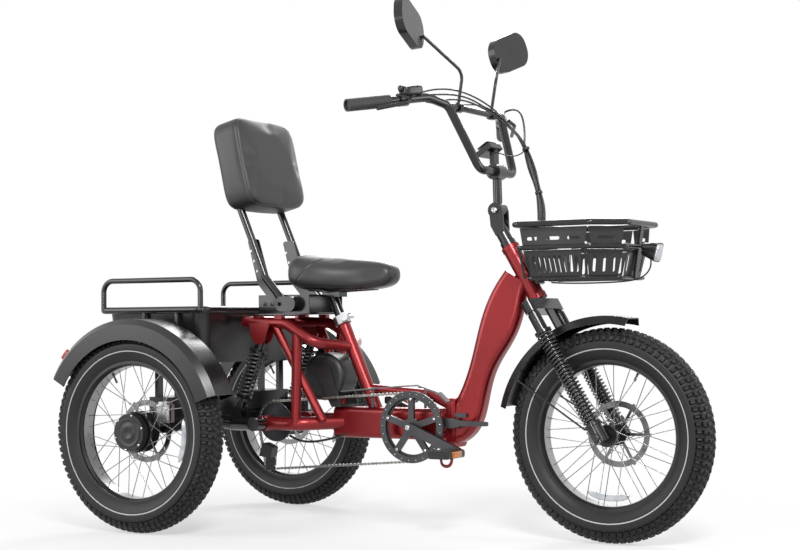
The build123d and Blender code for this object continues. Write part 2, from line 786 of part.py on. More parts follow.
def add_wall(start, end, lean, low, high, slots, upright):
    """Adds one sheet of the basket along this run of its plan, with a row of slots."""
    run = Vector(end[0] - start[0], end[1] - start[1], 0)
    along = run.normalized()
    middle = (start[0] + run.X / 2, start[1] + run.Y / 2, low)
    outward = Vector(-along.Y, along.X, 0)
    facing = outward * cos(radians(lean)) - Vector(0, 0, sin(radians(lean)))
    wall_height = (high - low) / cos(radians(lean))
    foot_half = run.length / 2 - 12
    wall_half = run.length / 2 - 2
    with BuildSketch(Plane(origin=middle, x_dir=along * -1, z_dir=facing)) as sheet:
        with BuildLine():
            Polyline(
                (-foot_half, 0), (foot_half, 0), (wall_half, wall_height),
                (-wall_half, wall_height), close=True,
            )
        make_face()
        slot_pitch = foot_half * 2 / slots
        with Locations((0, wall_height / 2)):
            with GridLocations(slot_pitch, 1, slots, 1):
                if upright:
                    SlotOverall(wall_height * 0.62, 9, rotation=90, mode=Mode.SUBTRACT)
                else:
                    SlotOverall(slot_pitch * 0.62, 9, mode=Mode.SUBTRACT)
    extrude(sheet.sketch, amount=-sheet_thickness)


sheet_thickness = 2
with BuildPart() as basket_panels:
    upper = basket_corners(12 + running_gap)
    lower = basket_corners(30 + running_gap)
    # Each wall: the corner it starts at, then its count of slots
    for corner, slots in ((0, 3), (1, 1), (3, 1), (4, 3)):
        add_wall(upper[corner], upper[corner + 1], 0, 789, 847, slots, False)
    for corner, slots in ((0, 9), (1, 3), (2, 5), (3, 3), (4, 9), (5, 8)):
        add_wall(lower[corner], lower[(corner + 1) % 6], 12.5, 714, 787, slots, True)
finish(basket_panels, "basket_panels")

# Head lamp on the front post of the basket
with BuildPart() as head_lamp:
    lamp_plane = Plane(origin=(rear_x + 1380, 0, 792), x_dir=(0, 1, 0), z_dir=(0.97, 0, -0.24))
    with BuildSketch(lamp_plane.offset(16)) as lamp_back:
        RectangleRounded(34, 34, 14)
    with BuildSketch(lamp_plane.offset(58)) as lamp_front:
        RectangleRounded(52, 52, 14)
    loft([lamp_back.sketch, lamp_front.sketch])
    boss_x = basket_front + running_gap
    add_disc(Plane(origin=(boss_x, 0, 795), z_dir=(1, 0, 0)), 9, 14)
finish(head_lamp, "head_lamp")

# Fork: steerer, crown, legs and the axle
spring_low = 40
spring_high = 318
fork_spring_radius = 23
fork_wire = 5
fork_turns = 26
stanchion_radius = 14
crown_depth = 38
with BuildPart() as fork:
    add_disc(steerer_plane(crown_low), steerer_diameter / 2, 640 - crown_low)
    with BuildSketch(steerer_plane(crown_low)) as crown:
        RectangleRounded(crown_depth, fork_half_width * 2 + 40, crown_depth / 2 - 0.5)
    extrude(crown.sketch, amount=head_tube_low - crown_low - 5)
    for side in (-1, 1):
        leg_side = side * fork_half_width
        add_disc(steerer_plane(0, 0, leg_side), stanchion_radius, crown_low + 10)
        add_disc(steerer_plane(spring_high, 0, leg_side), 17, 60)
        add_disc(steerer_plane(-14, 0, leg_side), 21, spring_low + 12)
        add_disc(steerer_plane(spring_low - 8, 0, leg_side), 24, 8)
        add_disc(steerer_plane(spring_high, 0, leg_side), 24, 8)
    axle_half = fork_half_width + 22
    add_disc(left_plane(front_x, -axle_half, axle_z), axle_radius, axle_half * 2)
finish(fork, "fork")

with BuildPart() as fork_springs:
    for side in (-1, 1):
        coil_plane = steerer_plane(spring_low + running_gap, 0, side * fork_half_width)
        coil_length = spring_high - spring_low - running_gap * 2
        add_coil(coil_plane, coil_length, fork_spring_radius - fork_wire / 2, fork_wire, fork_turns)
finish(fork_springs, "fork_springs")

# Front fender: a channel round the wheel, its strap to the crown and its stays
front_fender_radius = 322
front_fender_half = 52
front_fender_start = 167
front_fender_end = 78
front_fender_edge = 300
stay_diameter = 5
stay_reach = 27
with BuildPart() as front_fender:
    spin = Axis((front_x, 0, axle_z), (0, 1, 0))
    with BuildSketch(wheel_plane(front_x, 0, front_fender_start)) as fender_section:
        with BuildLine():
            out = front_fender_half
            Polyline(
                (-out, front_fender_edge), (-out + 14, front_fender_radius),
                (out - 14, front_fender_radius), (out, front_fender_edge),
                (out - 3, front_fender_edge), (out - 16, front_fender_radius - 3),
                (-out + 16, front_fender_radius - 3), (-out + 3, front_fender_edge), close=True,
            )
        make_face()
    revolve(fender_section.sketch, axis=spin, revolution_arc=front_fender_start - front_fender_end)
    strap_foot = front_fender_radius - 4
    strap_top = crown_low - running_gap
    with Locations(steerer_plane((strap_foot + strap_top) / 2, 14)):
        Box(6, 40, strap_top - strap_foot)
    for side in (-1, 1):
        stay_turn = radians(150)
        stay_start = (
            front_x + (front_fender_radius - 14) * cos(stay_turn),
            side * (front_fender_half - 4),
            axle_z + (front_fender_radius - 14) * sin(stay_turn),
        )
        stay_end = on_steerer(spring_low - 4, -stay_reach, side * fork_half_width)
        add_tube([stay_start, tuple(stay_end)], stay_diameter)
finish(front_fender, "front_fender")

# Stem: the lower clamp on the steerer and the upper part that tilts
with BuildPart() as stem_lower:
    add_disc(steerer_plane(head_tube_high + 2), 22, 14, steerer_diameter / 2 + running_gap)
    add_disc(steerer_plane(head_tube_high + 16), 19, 62, steerer_diameter / 2 + running_gap)
    pivot_point = on_steerer(stem_pivot_along, stem_pivot_ahead)
    for side in (-1, 1):
        add_disc(left_plane(pivot_point.X, side * 17 - 3, pivot_point.Z), 22, 6)
        ear_plane = Plane(
            origin=on_steerer(0, 0, side * 17),
            x_dir=(sin(steer_tilt), 0, cos(steer_tilt)),
            z_dir=(0, -1, 0),
        )
        ear = [(-14, 640), (14, 640), (40, 690), (40, 703), (0, 703), (-14, 672)]
        add_plate(ear_plane, ear, 6)
finish(stem_lower, "stem_lower")

clamp_z = pivot_point.Z + stem_rise
clamp_x = pivot_point.X - 2
with BuildPart() as stem_upper:
    add_disc(left_plane(pivot_point.X, -13.5, pivot_point.Z), 22, 27)
    add_tube([(pivot_point.X, 0, pivot_point.Z), (clamp_x, 0, clamp_z - 10)], 26)
    add_disc(left_plane(clamp_x, -24, clamp_z), 22, 48)
    with BuildSketch(left_plane(clamp_x, -30, clamp_z)) as bar_bore:
        Circle(12 + running_gap)
    extrude(bar_bore.sketch, amount=60, mode=Mode.SUBTRACT)
finish(stem_upper, "stem_upper")

bar_joint = (rear_x + 892, 160, 1192)
with BuildPart() as handlebar:
    for side in (-1, 1):
        bar_route = [
            (clamp_x, 0, clamp_z),
            (clamp_x, side * 104, clamp_z),
            (bar_joint[0], side * bar_joint[1], bar_joint[2]),
            (rear_x + 862, side * 222, 1210),
            (rear_x + 750, side * 450, 1172),
        ]
        add_tube(bar_route, 24, 30)
    cross_ends = [(bar_joint[0], -bar_joint[1], bar_joint[2]), (bar_joint[0], bar_joint[1], bar_joint[2])]
    add_tube(cross_ends, 18)
finish(handlebar, "handlebar")

with BuildPart() as grips:
    for side in (-1, 1):
        grip_foot = Vector(rear_x + 862, side * 222, 1210)
        grip_end = Vector(rear_x + 750, side * 450, 1172)
        along = (grip_end - grip_foot).normalized()
        grip_plane = Plane(origin=grip_end - along * 130, z_dir=along)
        add_disc(grip_plane, 17, 134, 12 + running_gap)
finish(grips, "grips")

with BuildPart() as controls:
    for side in (-1, 1):
        grip_foot = Vector(rear_x + 862, side * 222, 1210)
        grip_end = Vector(rear_x + 750, side * 450, 1172)
        along = (grip_end - grip_foot).normalized()
        clamp_plane = Plane(origin=grip_foot + along * 70, z_dir=along)
        add_disc(clamp_plane, 18, 26, 12 + running_gap)
        lever_foot = grip_foot + along * 83 + Vector(24, 0, 0)
        lever_bend = grip_foot + along * 110 + Vector(44, 0, -8)
        lever_tip = grip_foot + along * 200 + Vector(34, 0, -16)
        add_tube([lever_foot, lever_bend, lever_tip], 11, 14)
finish(controls, "controls")

with BuildPart() as mirrors:
    for side in (-1, 1):
        mirror_foot = (rear_x + 892, side * 100, 1192)
        stalk = [
            (rear_x + 892, side * 100, 1201.5),
            (rear_x + 907, side * 101, 1289),
            (rear_x + 856, side * 232, 1376),
        ]
        clamp = left_plane(mirror_foot[0], mirror_foot[1] - 9, mirror_foot[2])
        add_disc(clamp, 14, 18, 9 + running_gap)
        add_tube(stalk, 9, 40)
        face_plane = Plane(
            origin=(rear_x + 852, side * 298, 1402),
            x_dir=(0.1, side, 0.35),
            z_dir=(0.96, -side * 0.18, 0.1),
        )
        with BuildSketch(face_plane.offset(-14)) as mirror_face:
            RectangleRounded(170, 104, 46)
        extrude(mirror_face.sketch, amount=24)
finish(mirrors, "mirrors")

with BuildPart() as display:
    display_plane = Plane(
        origin=(rear_x + 936, 0, 1078), x_dir=(0, -1, 0), z_dir=(-0.55, 0, 0.83)
    )
    with Locations(display_plane):
        Box(72, 48, 16)
    with Locations((clamp_x - 8, 0, clamp_z + 22 + running_gap + 17)):
        Box(14, 30, 34)
finish(display, "display")

# Crank set: spindle, chainring on its spider, guard ring and both arms
arm_turn = 22.5
arm_side = 83
with BuildPart() as crank_set:
    add_disc(left_plane(crank_x, -arm_side - 4, crank_height), spindle_radius, arm_side * 2 + 8)
    ring_plane = left_plane(crank_x, -chain_side - 1.5, crank_height)
    add_disc(ring_plane, ring_pitch_radius - chain_thickness / 2 - running_gap, 3, 78)
    guard_plane = left_plane(crank_x, -chain_side - 8, crank_height)
    add_disc(guard_plane, 102, 3, 84)
    with BuildSketch(left_plane(crank_x, -chain_side - 8, crank_height)) as spider:
        Circle(26)
        with PolarLocations(0, 5, start_angle=18):
            with Locations((46, 0)):
                Rectangle(84, 18)
    extrude(spider.sketch, amount=9.5)
    for side, turn in ((-1, -arm_turn), (1, 180 - arm_turn)):
        arm_plane = Plane(
            origin=(crank_x, side * arm_side, crank_height),
            x_dir=(cos(radians(turn)), 0, sin(radians(turn))),
            z_dir=(0, -1, 0),
        )
        with BuildSketch(arm_plane) as arm:
            with Locations((crank_length / 2, 0)):
                SlotCenterToCenter(crank_length, 26)
        extrude(arm.sketch, amount=7, both=True)
finish(crank_set, "crank_set")

pedal_width = 92
for name, side, turn in (("pedal_right", -1, -arm_turn), ("pedal_left", 1, 180 - arm_turn)):
    pedal_x = crank_x + crank_length * cos(radians(turn))
    pedal_z = crank_height + crank_length * sin(radians(turn))
    inner = arm_side + 7 + running_gap
    with BuildPart() as pedal:
        axle_plane = side_plane(pedal_x, -inner, pedal_z)
        if side > 0:
            axle_plane = left_plane(pedal_x, inner, pedal_z)
        add_disc(axle_plane, 7, 20)
        with BuildSketch(axle_plane.offset(12)) as pedal_body:
            RectangleRounded(64, 22, 6)
        extrude(pedal_body.sketch, amount=pedal_width)
    finish(pedal, name)

# Chain: one loop round the chainring, the sprocket and the lower pulley
pulley_radius = 22
pulley_x = rear_x + 227
pulley_z = 164 + pulley_radius
chain_pitch = 12.7
with BuildPart() as chains:
    loop_plane = side_plane(0, -chain_side + chain_width / 2, 0)
    rounds = (
        (crank_x, crank_height, ring_pitch_radius),
        (pivot_x, pivot_height, sprocket_radius),
        (pulley_x, pulley_z, pulley_radius),
    )
    with BuildSketch(loop_plane) as chain_line:
        for x, z, radius in rounds:
            with Locations((x, z)):
                Circle(radius)
        make_hull()
    loop = chain_line.sketch.faces()[0].outer_wire()
    link_count = round(loop.length / chain_pitch)
    link_places = []
    for index in range(link_count):
        place = loop.position_at(index / link_count)
        link_places.append((place.X, place.Z))
    with BuildSketch(loop_plane) as chain_outline:
        for x, z, radius in rounds:
            with Locations((x, z)):
                Circle(radius + chain_waist / 2)
        make_hull()
    with BuildSketch(loop_plane) as chain_inside:
        for x, z, radius in rounds:
            with Locations((x, z)):
                Circle(radius - chain_waist / 2)
        make_hull()
    extrude(chain_outline.sketch, amount=chain_width)
    extrude(chain_inside.sketch, amount=chain_width, mode=Mode.SUBTRACT)
    with BuildSketch(loop_plane) as link_ends:
        with Locations(*link_places):
            Circle(chain_thickness / 2)
    extrude(link_ends.sketch, amount=chain_width)
finish(chains, "chains")

with BuildPart() as derailleur:
    cage_plane = side_plane(pulley_x, -chain_side - chain_width / 2 - 2, pulley_z)
    add_plate(cage_plane, [(-16, -24), (16, -24), (20, 40), (4, 58), (-14, 44)], 3, 6)
    add_disc(left_plane(pulley_x, -chain_side - 3, pulley_z), pulley_radius - 4.5, 4)
    add_disc(left_plane(pulley_x, -chain_side - 6, pulley_z), 5, 10)
    body_plane = side_plane(pulley_x + 4, -chain_side - 22, pulley_z + 34)
    add_plate(body_plane, [(-24, -16), (20, -20), (26, 12), (-10, 26)], 30, 6)
finish(derailleur, "derailleur")

# Chain guard: a strip over the upper run and a flared cover over the ring
guard_width = 19
with BuildPart() as chain_guard:
    with BuildSketch(side_plane(0, -chain_side + 12, 0)) as guard:
        with BuildLine():
            Polyline(
                (rear_x + 478, 397), (rear_x + 640, 411), (rear_x + 735, 417),
                (rear_x + 800, 396), (rear_x + 828, 372), (rear_x + 831, 375),
                (rear_x + 802, 401), (rear_x + 736, 421), (rear_x + 640, 415),
                (rear_x + 478, 401), close=True,
            )
        make_face()
    extrude(guard.sketch, amount=guard_width)
    # Place ahead of the rear axle and height of each bracket's top
    for ahead, height in ((560, 405), (735, 415)):
        foot = (rear_x + ahead, -24, beam_high + running_gap)
        bracket = [foot, (rear_x + ahead, -24, height), (rear_x + ahead, -58, height)]
        add_tube(bracket, 8, 9)
finish(chain_guard, "chain_guard")

with BuildPart() as tail_lamps:
    for side in (-1, 1):
        lamp_turn = radians(139)
        lamp_reach = fender_radius + running_gap
        lamp_base = Plane(
            origin=(
                rear_x + lamp_reach * cos(lamp_turn),
                side * track / 2,
                axle_z + lamp_reach * sin(lamp_turn),
            ),
            x_dir=(0, 1, 0),
            z_dir=(cos(lamp_turn), 0, sin(lamp_turn)),
        )
        with BuildSketch(lamp_base) as lamp_foot:
            RectangleRounded(62, 36, 8)
        extrude(lamp_foot.sketch, amount=16)
finish(tail_lamps, "tail_lamps")

caliper_ahead = 66
with BuildPart() as rear_calipers:
    for side in (-1, 1):
        rotor_y = side * (track / 2 - rear_hub_half - running_gap - rotor_thickness / 2)
        body_y = rotor_y - side * 4.4
        with Locations((rear_x + caliper_ahead, body_y, axle_z + 52)):
            Box(44, 26, 52)
        with Locations((rear_x + 58, rotor_y, axle_z + 44)):
            Box(90, rotor_thickness + 4, 90, mode=Mode.SUBTRACT)
        with Locations((rear_x + caliper_ahead, body_y, axle_z + 82)):
            Box(30, 26, 8)
finish(rear_calipers, "rear_calipers")
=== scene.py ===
import math

import bmesh
import bpy
import numpy as np
from mathutils import Matrix, Vector


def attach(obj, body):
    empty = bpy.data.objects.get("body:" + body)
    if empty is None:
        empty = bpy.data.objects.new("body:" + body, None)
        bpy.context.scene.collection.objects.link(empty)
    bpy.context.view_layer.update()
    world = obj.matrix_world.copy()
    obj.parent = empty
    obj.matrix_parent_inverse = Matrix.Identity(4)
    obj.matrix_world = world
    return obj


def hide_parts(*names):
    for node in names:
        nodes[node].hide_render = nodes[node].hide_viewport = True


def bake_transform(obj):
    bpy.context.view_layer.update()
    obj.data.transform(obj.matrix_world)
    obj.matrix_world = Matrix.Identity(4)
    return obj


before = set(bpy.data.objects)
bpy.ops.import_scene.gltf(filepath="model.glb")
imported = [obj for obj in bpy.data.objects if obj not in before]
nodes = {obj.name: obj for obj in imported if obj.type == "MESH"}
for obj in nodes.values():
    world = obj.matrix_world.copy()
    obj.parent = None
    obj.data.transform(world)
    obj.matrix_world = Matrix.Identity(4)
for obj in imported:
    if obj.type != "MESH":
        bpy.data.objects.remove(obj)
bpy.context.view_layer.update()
half_wheelbase, half_track, wheel_radius = 0.6475, 0.400, 0.290

# %% [markdown]
# ## The camera
# A product photograph is taken with a long lens from a little above the hubs.
# The place, the turn and the lens below are written as numbers, so that the view never drifts.
# The camera's three axes are worked out from its turn, its tilt and a slight roll.
# %% Camera
def camera_matrix(position, turn, tilt, roll):
    """The camera's matrix: it looks along -Z, turned about Z, tilted up or down, then rolled."""
    ahead = Vector((-math.sin(turn) * math.cos(tilt), math.cos(turn) * math.cos(tilt), -math.sin(tilt)))
    right = Vector((math.cos(turn), math.sin(turn), 0))
    upward = right.cross(ahead)
    across = right * math.cos(roll) + upward * math.sin(roll)
    up = upward * math.cos(roll) - right * math.sin(roll)
    matrix = Matrix((across, up, -ahead)).transposed().to_4x4()
    matrix.translation = position
    return matrix


camera = bpy.data.objects.new("camera", bpy.data.cameras.new("camera"))
camera.data.lens = 73.52
camera.data.sensor_width = 36
camera.matrix_world = camera_matrix(
    position=Vector((2.3784, -4.0888, 0.6101)),
    turn=math.radians(30.2547), tilt=math.radians(-1.511), roll=-0.0091,
)
bpy.context.scene.collection.objects.link(camera)
bpy.context.scene.camera = camera
bpy.context.scene.view_settings.view_transform = "Standard"
print("camera at", tuple(camera.matrix_world.translation))

# %% [markdown]
# ## Joining shader nodes
# A shader is a graph of small nodes, and building one by hand repeats the same few steps.
# The helpers below make a Math node, a Map Range node, a colour mix or a noise in one line.
# Each takes a number or another node's output for its inputs, so they can be nested.
# %% Node helpers
# A Mix node has sockets for each kind of data, and these are its sockets for colours
MIX_FACTOR, MIX_FIRST, MIX_SECOND, MIX_RESULT = 0, 6, 7, 2


def feed(tree, value, socket):
    """Sets a socket to a number or a colour, or links another node's output to it."""
    if isinstance(value, (int, float, tuple)):
        socket.default_value = value
    else:
        tree.links.new(value, socket)


def math_node(tree, operation, first, second=None):
    """One Math node, its inputs numbers or sockets."""
    node = tree.nodes.new("ShaderNodeMath")
    node.operation = operation
    feed(tree, first, node.inputs[0])
    if second is not None:
        feed(tree, second, node.inputs[1])
    return node.outputs[0]


def map_range(tree, value, low=0.0, high=1.0, out_low=0.0, out_high=1.0, smooth=False):
    """A Map Range node: low to high becomes out_low to out_high, held at both ends."""
    node = tree.nodes.new("ShaderNodeMapRange")
    if smooth:
        node.interpolation_type = "SMOOTHSTEP"
    limits = {"From Min": low, "From Max": high, "To Min": out_low, "To Max": out_high}
    for label, number in limits.items():
        node.inputs[label].default_value = number
    tree.links.new(value, node.inputs["Value"])
    return node.outputs["Result"]


def mix_colors(tree, factor, first, second):
    """A Mix node on colours, its inputs colours or sockets."""
    node = tree.nodes.new("ShaderNodeMix")
    node.data_type = "RGBA"
    for index, value in ((MIX_FACTOR, factor), (MIX_FIRST, first), (MIX_SECOND, second)):
        feed(tree, value, node.inputs[index])
    return node.outputs[MIX_RESULT]


def noise(tree, where, scale, detail):
    """A Noise texture's value, read at these coordinates."""
    node = tree.nodes.new("ShaderNodeTexNoise")
    tree.links.new(where, node.inputs["Vector"])
    feed(tree, scale, node.inputs["Scale"])
    node.inputs["Detail"].default_value = detail
    return node.outputs["Fac"]


print("node helpers ready")

# %% [markdown]
# ## Light
# Satin paint and black plastic show their form by broad, soft highlights.
# Square area lamps give those: a key high on the camera's side, a small low one beside the
# camera for a crisp edge, a wide one to fill, one behind, and one ahead of the front wheel.
# The background is white only for rays from the camera, off gloss or through clear things,
# and for all other rays it is a plain grey room, so it doesn't wash out the shading.
# %% Lamps and world
def area_lamp(name, position, target, size, power):
    """A square lamp at a position, facing a target."""
    lamp = bpy.data.objects.new(name, bpy.data.lights.new(name, "AREA"))
    lamp.data.shape = "SQUARE"
    lamp.data.size = size
    lamp.data.energy = power
    aim = (Vector(target) - Vector(position)).to_track_quat("-Z", "Y").to_matrix().to_4x4()
    lamp.matrix_world = Matrix.Translation(position) @ aim
    bpy.context.scene.collection.objects.link(lamp)


# Name, position, side of the square in metres, and power in watts
lamp_rows = (
    ("key_lamp", (2.6, -3.4, 3.4), 1.2, 185),
    ("low_lamp", (0.4, -4.6, 0.9), 0.6, 26),
    ("fill_lamp", (-3.2, -3.0, 1.8), 2.6, 75),
    ("back_lamp", (-1.5, 3.6, 3.0), 2.0, 130),
    ("front_lamp", (4.2, 1.0, 1.6), 2.0, 60),
)
middle = (0.0, 0.0, 0.7)
for lamp_name, position, size, power in lamp_rows:
    area_lamp(lamp_name, position, middle, size, power)


def camera_white(tree, strength_elsewhere):
    """A value that is 1 for camera, glossy and transmission rays, and the given value otherwise."""
    rays = tree.nodes.new("ShaderNodeLightPath").outputs
    seen = math_node(tree, "MAXIMUM", rays["Is Camera Ray"], rays["Is Glossy Ray"])
    seen = math_node(tree, "MAXIMUM", seen, rays["Is Transmission Ray"])
    return map_range(tree, seen, out_low=strength_elsewhere)


room_light = 0.30
world = bpy.data.worlds.new("studio")
world.use_nodes = True
bpy.context.scene.world = world
backdrop = world.node_tree.nodes["Background"]
backdrop.inputs["Color"].default_value = (1, 1, 1, 1)
world.node_tree.links.new(camera_white(world.node_tree, room_light), backdrop.inputs["Strength"])
print("lamps", len(lamp_rows), "and a room of", room_light)

# %% [markdown]
# ## Surfaces from arrays
# Each new piece is a grid of points worked out by numpy and handed to the mesh in one go.
# Three makers then cover the tricycle: a profile carried along a path, a turned profile
# and a rounded block. Every one of them ends in this first one, which turns the grid into
# a mesh, merges the doubled points at its poles and makes its faces look outwards.
# %% Grids
merge_distance, shortest_edge = 2e-6, 1e-7


def grid_object(name, points, wrap_rows=False):
    """A mesh over a grid of points (rows, columns, 3): columns close, and rows too if asked."""
    rows, columns = points.shape[:2]
    index = np.arange(rows * columns).reshape(rows, columns)
    near = index if wrap_rows else index[:-1]
    far = np.roll(index, -1, 0) if wrap_rows else index[1:]
    corners = (near, np.roll(near, -1, 1), np.roll(far, -1, 1), far)
    quads = np.stack(corners, axis=-1).reshape(-1, 4)
    mesh = bpy.data.meshes.new(name)
    mesh.vertices.add(rows * columns)
    mesh.vertices.foreach_set("co", points.astype(np.float32).ravel())
    mesh.loops.add(quads.size)
    mesh.loops.foreach_set("vertex_index", quads.astype(np.int32).ravel())
    mesh.polygons.add(len(quads))
    mesh.polygons.foreach_set("loop_start", np.arange(0, quads.size, 4, dtype=np.int32))
    mesh.update(calc_edges=True)
    shell = bmesh.new()
    shell.from_mesh(mesh)
    bmesh.ops.remove_doubles(shell, verts=shell.verts, dist=merge_distance)
    bmesh.ops.dissolve_degenerate(shell, edges=shell.edges, dist=shortest_edge)
    bmesh.ops.recalc_face_normals(shell, faces=shell.faces)
    shell.to_mesh(mesh)
    shell.free()
    mesh.shade_smooth()
    piece = bpy.data.objects.new(name, mesh)
    bpy.context.scene.collection.objects.link(piece)
    return piece


print("points nearer than", merge_distance, "m are merged")

# %% [markdown]
# ## Profiles carried along a path
# Cables, straps and reflectors are a flat outline that travels along a line. The line is
# a B-spline, which rounds its control points off, so a few given points are enough.
# At every step the outline stands square to the line, and a last point closes each end.
# %% Paths
def smooth_path(points, count):
    """A uniform cubic B-spline drawn by these control points, from the first to the last."""
    control = np.asarray(points, float)
    control = np.vstack([2 * control[0] - control[1], control, 2 * control[-1] - control[-2]])
    spans = len(control) - 3
    travel = np.linspace(0, spans, count)
    span = np.minimum(travel.astype(int), spans - 1)
    t = (travel - span)[:, None]
    before, start, end, after = (control[span + k] for k in range(4))
    return (
        (1 - t) ** 3 * before + (3 * t**3 - 6 * t**2 + 4) * start
        + (-3 * t**3 + 3 * t**2 + 3 * t + 1) * end + t**3 * after
    ) / 6


def carried(name, path, profile, sizes=1.0, side=(0, 1, 0)):
    """A profile (m, 2) carried along a path (n, 3), scaled at each step and closed at both ends."""
    path = np.asarray(path, float)
    ahead = np.gradient(path, axis=0)
    ahead /= np.linalg.norm(ahead, axis=1, keepdims=True)
    across = np.cross(ahead, np.asarray(side, float))
    across /= np.linalg.norm(across, axis=1, keepdims=True)
    up = np.cross(across, ahead)
    sizes = np.broadcast_to(np.asarray(sizes, float), (len(path),))
    path = np.vstack([path[:1], path, path[-1:]])
    across = np.vstack([across[:1], across, across[-1:]])
    up = np.vstack([up[:1], up, up[-1:]])
    sizes = np.concatenate([[0.0], sizes, [0.0]])[:, None, None]
    spread = profile[None, :, :1] * across[:, None] + profile[None, :, 1:] * up[:, None]
    return grid_object(name, path[:, None] + spread * sizes)


def round_profile(radius, sides):
    """A circle's points, its radius in metres."""
    turn = np.arange(sides) * 2 * np.pi / sides
    return np.stack([np.cos(turn), np.sin(turn)], axis=1) * radius


print("heights on a path 1 m tall", smooth_path([(0, 0, 0), (0, 0, 0.5), (0, 0, 1)], 5)[:, 2].round(3))

# %% [markdown]
# ## Turned shapes
# Bolts, valves and caps are round about an axis, as if cut on a lathe. Each is a list of
# distances along the axis with a radius at each, and the list is swept round in a ring.
# %% Turned shapes
def turned(name, centre, axis, profile, sides):
    """A profile of (distance along the axis, radius) turned about an axis through a centre."""
    axis = np.asarray(axis, float) / np.linalg.norm(axis)
    helper = np.array([0, 0, 1.0]) if abs(axis[2]) < 0.9 else np.array([1.0, 0, 0])
    first = np.cross(axis, helper)
    first /= np.linalg.norm(first)
    second = np.cross(axis, first)
    turn = np.arange(sides) * 2 * np.pi / sides
    ring = np.cos(turn)[:, None] * first + np.sin(turn)[:, None] * second
    profile = np.asarray(profile, float)
    along = profile[:, 0, None, None] * axis
    return grid_object(name, np.asarray(centre, float) + along + profile[:, 1, None, None] * ring)


print("turned maker ready")

# %% [markdown]
# ## Rounded blocks
# A box with soft edges follows from one formula, the superellipsoid. Its power sets how
# square it is: 2 gives an egg, 5 a rounded block, and more than that a box with fine edges.
# %% Rounded blocks
plain_axes = ((1, 0, 0), (0, 1, 0), (0, 0, 1))


def block(name, centre, axes, half, power=5.0, rows=26, columns=48):
    """A rounded block: |x/a|^p + |y/b|^p + |z/c|^p = 1 along its own three axes."""
    rise = np.linspace(-np.pi / 2, np.pi / 2, rows)[:, None]
    turn = (np.arange(columns) * 2 * np.pi / columns)[None, :]

    def bent(value):
        return np.sign(value) * np.abs(value) ** (2 / power)

    x = bent(np.cos(rise)) * bent(np.cos(turn)) * half[0]
    y = bent(np.cos(rise)) * bent(np.sin(turn)) * half[1]
    z = bent(np.sin(rise)) * np.ones_like(turn) * half[2]
    axes = np.asarray(axes, float)
    axes /= np.linalg.norm(axes, axis=1, keepdims=True)
    points = x[..., None] * axes[0] + y[..., None] * axes[1] + z[..., None] * axes[2]
    return grid_object(name, np.asarray(centre, float) + points)


print("block maker ready")

# %% [markdown]
# ## Places and bodies
# Places on the tricycle are easiest to measure from the rear axle. Each finished piece is
# told which moving body it rides on, what it is made of, and which CAD node it stands for.
# %% Places and bodies
def place(ahead, side, height):
    """A point given by its distance ahead of the rear axle, to the left, and above the floor."""
    return np.array([ahead - half_wheelbase, side, height])


def seat_piece(piece, body, material, stands_for=()):
    """Gives a finished piece its material and the CAD body that it rides on."""
    piece.data.materials.clear()
    piece.data.materials.append(material)
    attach(piece, body)
    if stands_for:
        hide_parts(*stands_for)


print("rear axle at", place(0, 0, wheel_radius))

# %% [markdown]
# ## Shared effects
# Three effects come back in many finishes, so each is a node group with named sockets.
# Grain is a fine bump, as on moulded plastic and powder coat: a noise plus the cells of a
# Voronoi texture, whose share is set by Coarse.
# %% Grain
FLOAT, COLOR = "NodeSocketFloat", "NodeSocketColor"


def new_group(name, inputs, outputs):
    """An empty shader group with these inputs (name, kind, value) and outputs (name, kind)."""
    group = bpy.data.node_groups.new(name, "ShaderNodeTree")
    for label, kind, value in inputs:
        socket = group.interface.new_socket(label, in_out="INPUT", socket_type=kind)
        socket.default_value = value
    for label, kind in outputs:
        group.interface.new_socket(label, in_out="OUTPUT", socket_type=kind)
    start = group.nodes.new("NodeGroupInput")
    end = group.nodes.new("NodeGroupOutput")
    where = group.nodes.new("ShaderNodeTexCoord").outputs["Object"]
    return group, start.outputs, end.inputs, where


cell_scale_share, grain_detail = 0.6, 3
grain_group, start, end, where = new_group(
    "fine_grain", [("Scale", FLOAT, 900.0), ("Coarse", FLOAT, 0.3)], [("Height", FLOAT)]
)
fine = noise(grain_group, where, start["Scale"], grain_detail)
cells = grain_group.nodes.new("ShaderNodeTexVoronoi")
cell_scale = math_node(grain_group, "MULTIPLY", start["Scale"], cell_scale_share)
grain_group.links.new(where, cells.inputs["Vector"])
grain_group.links.new(cell_scale, cells.inputs["Scale"])
deep = math_node(grain_group, "MULTIPLY", cells.outputs["Distance"], start["Coarse"])
grain_group.links.new(math_node(grain_group, "ADD", fine, deep), end["Height"])
print("group", grain_group.name)

# %% [markdown]
# Tone breaks an even colour into slow patches of a second one, as handling and light do.
# It also lays a little dust on faces that look up: the steeper a face, the less it holds.
# %% Tone and dust
dust_colour, dust_scale, dust_detail = (0.42, 0.41, 0.4, 1), 160, 4
patch_detail, patch_from, patch_to = 5, 0.35, 0.68
flattest_bare = 0.55
tone_group, start, end, where = new_group(
    "tone_and_dust",
    [("Base", COLOR, (0.5, 0.5, 0.5, 1)), ("Second", COLOR, (0.4, 0.4, 0.4, 1)),
     ("Patch Scale", FLOAT, 9.0), ("Dust", FLOAT, 0.1)],
    [("Color", COLOR), ("Mask", FLOAT)],
)
patches = noise(tone_group, where, start["Patch Scale"], patch_detail)
sharp = map_range(tone_group, patches, low=patch_from, high=patch_to)
toned = mix_colors(tone_group, sharp, start["Base"], start["Second"])
facing = tone_group.nodes.new("ShaderNodeNewGeometry")
split = tone_group.nodes.new("ShaderNodeSeparateXYZ")
tone_group.links.new(facing.outputs["Normal"], split.inputs[0])
level = map_range(tone_group, split.outputs["Z"], low=flattest_bare)
specks = noise(tone_group, where, dust_scale, dust_detail)
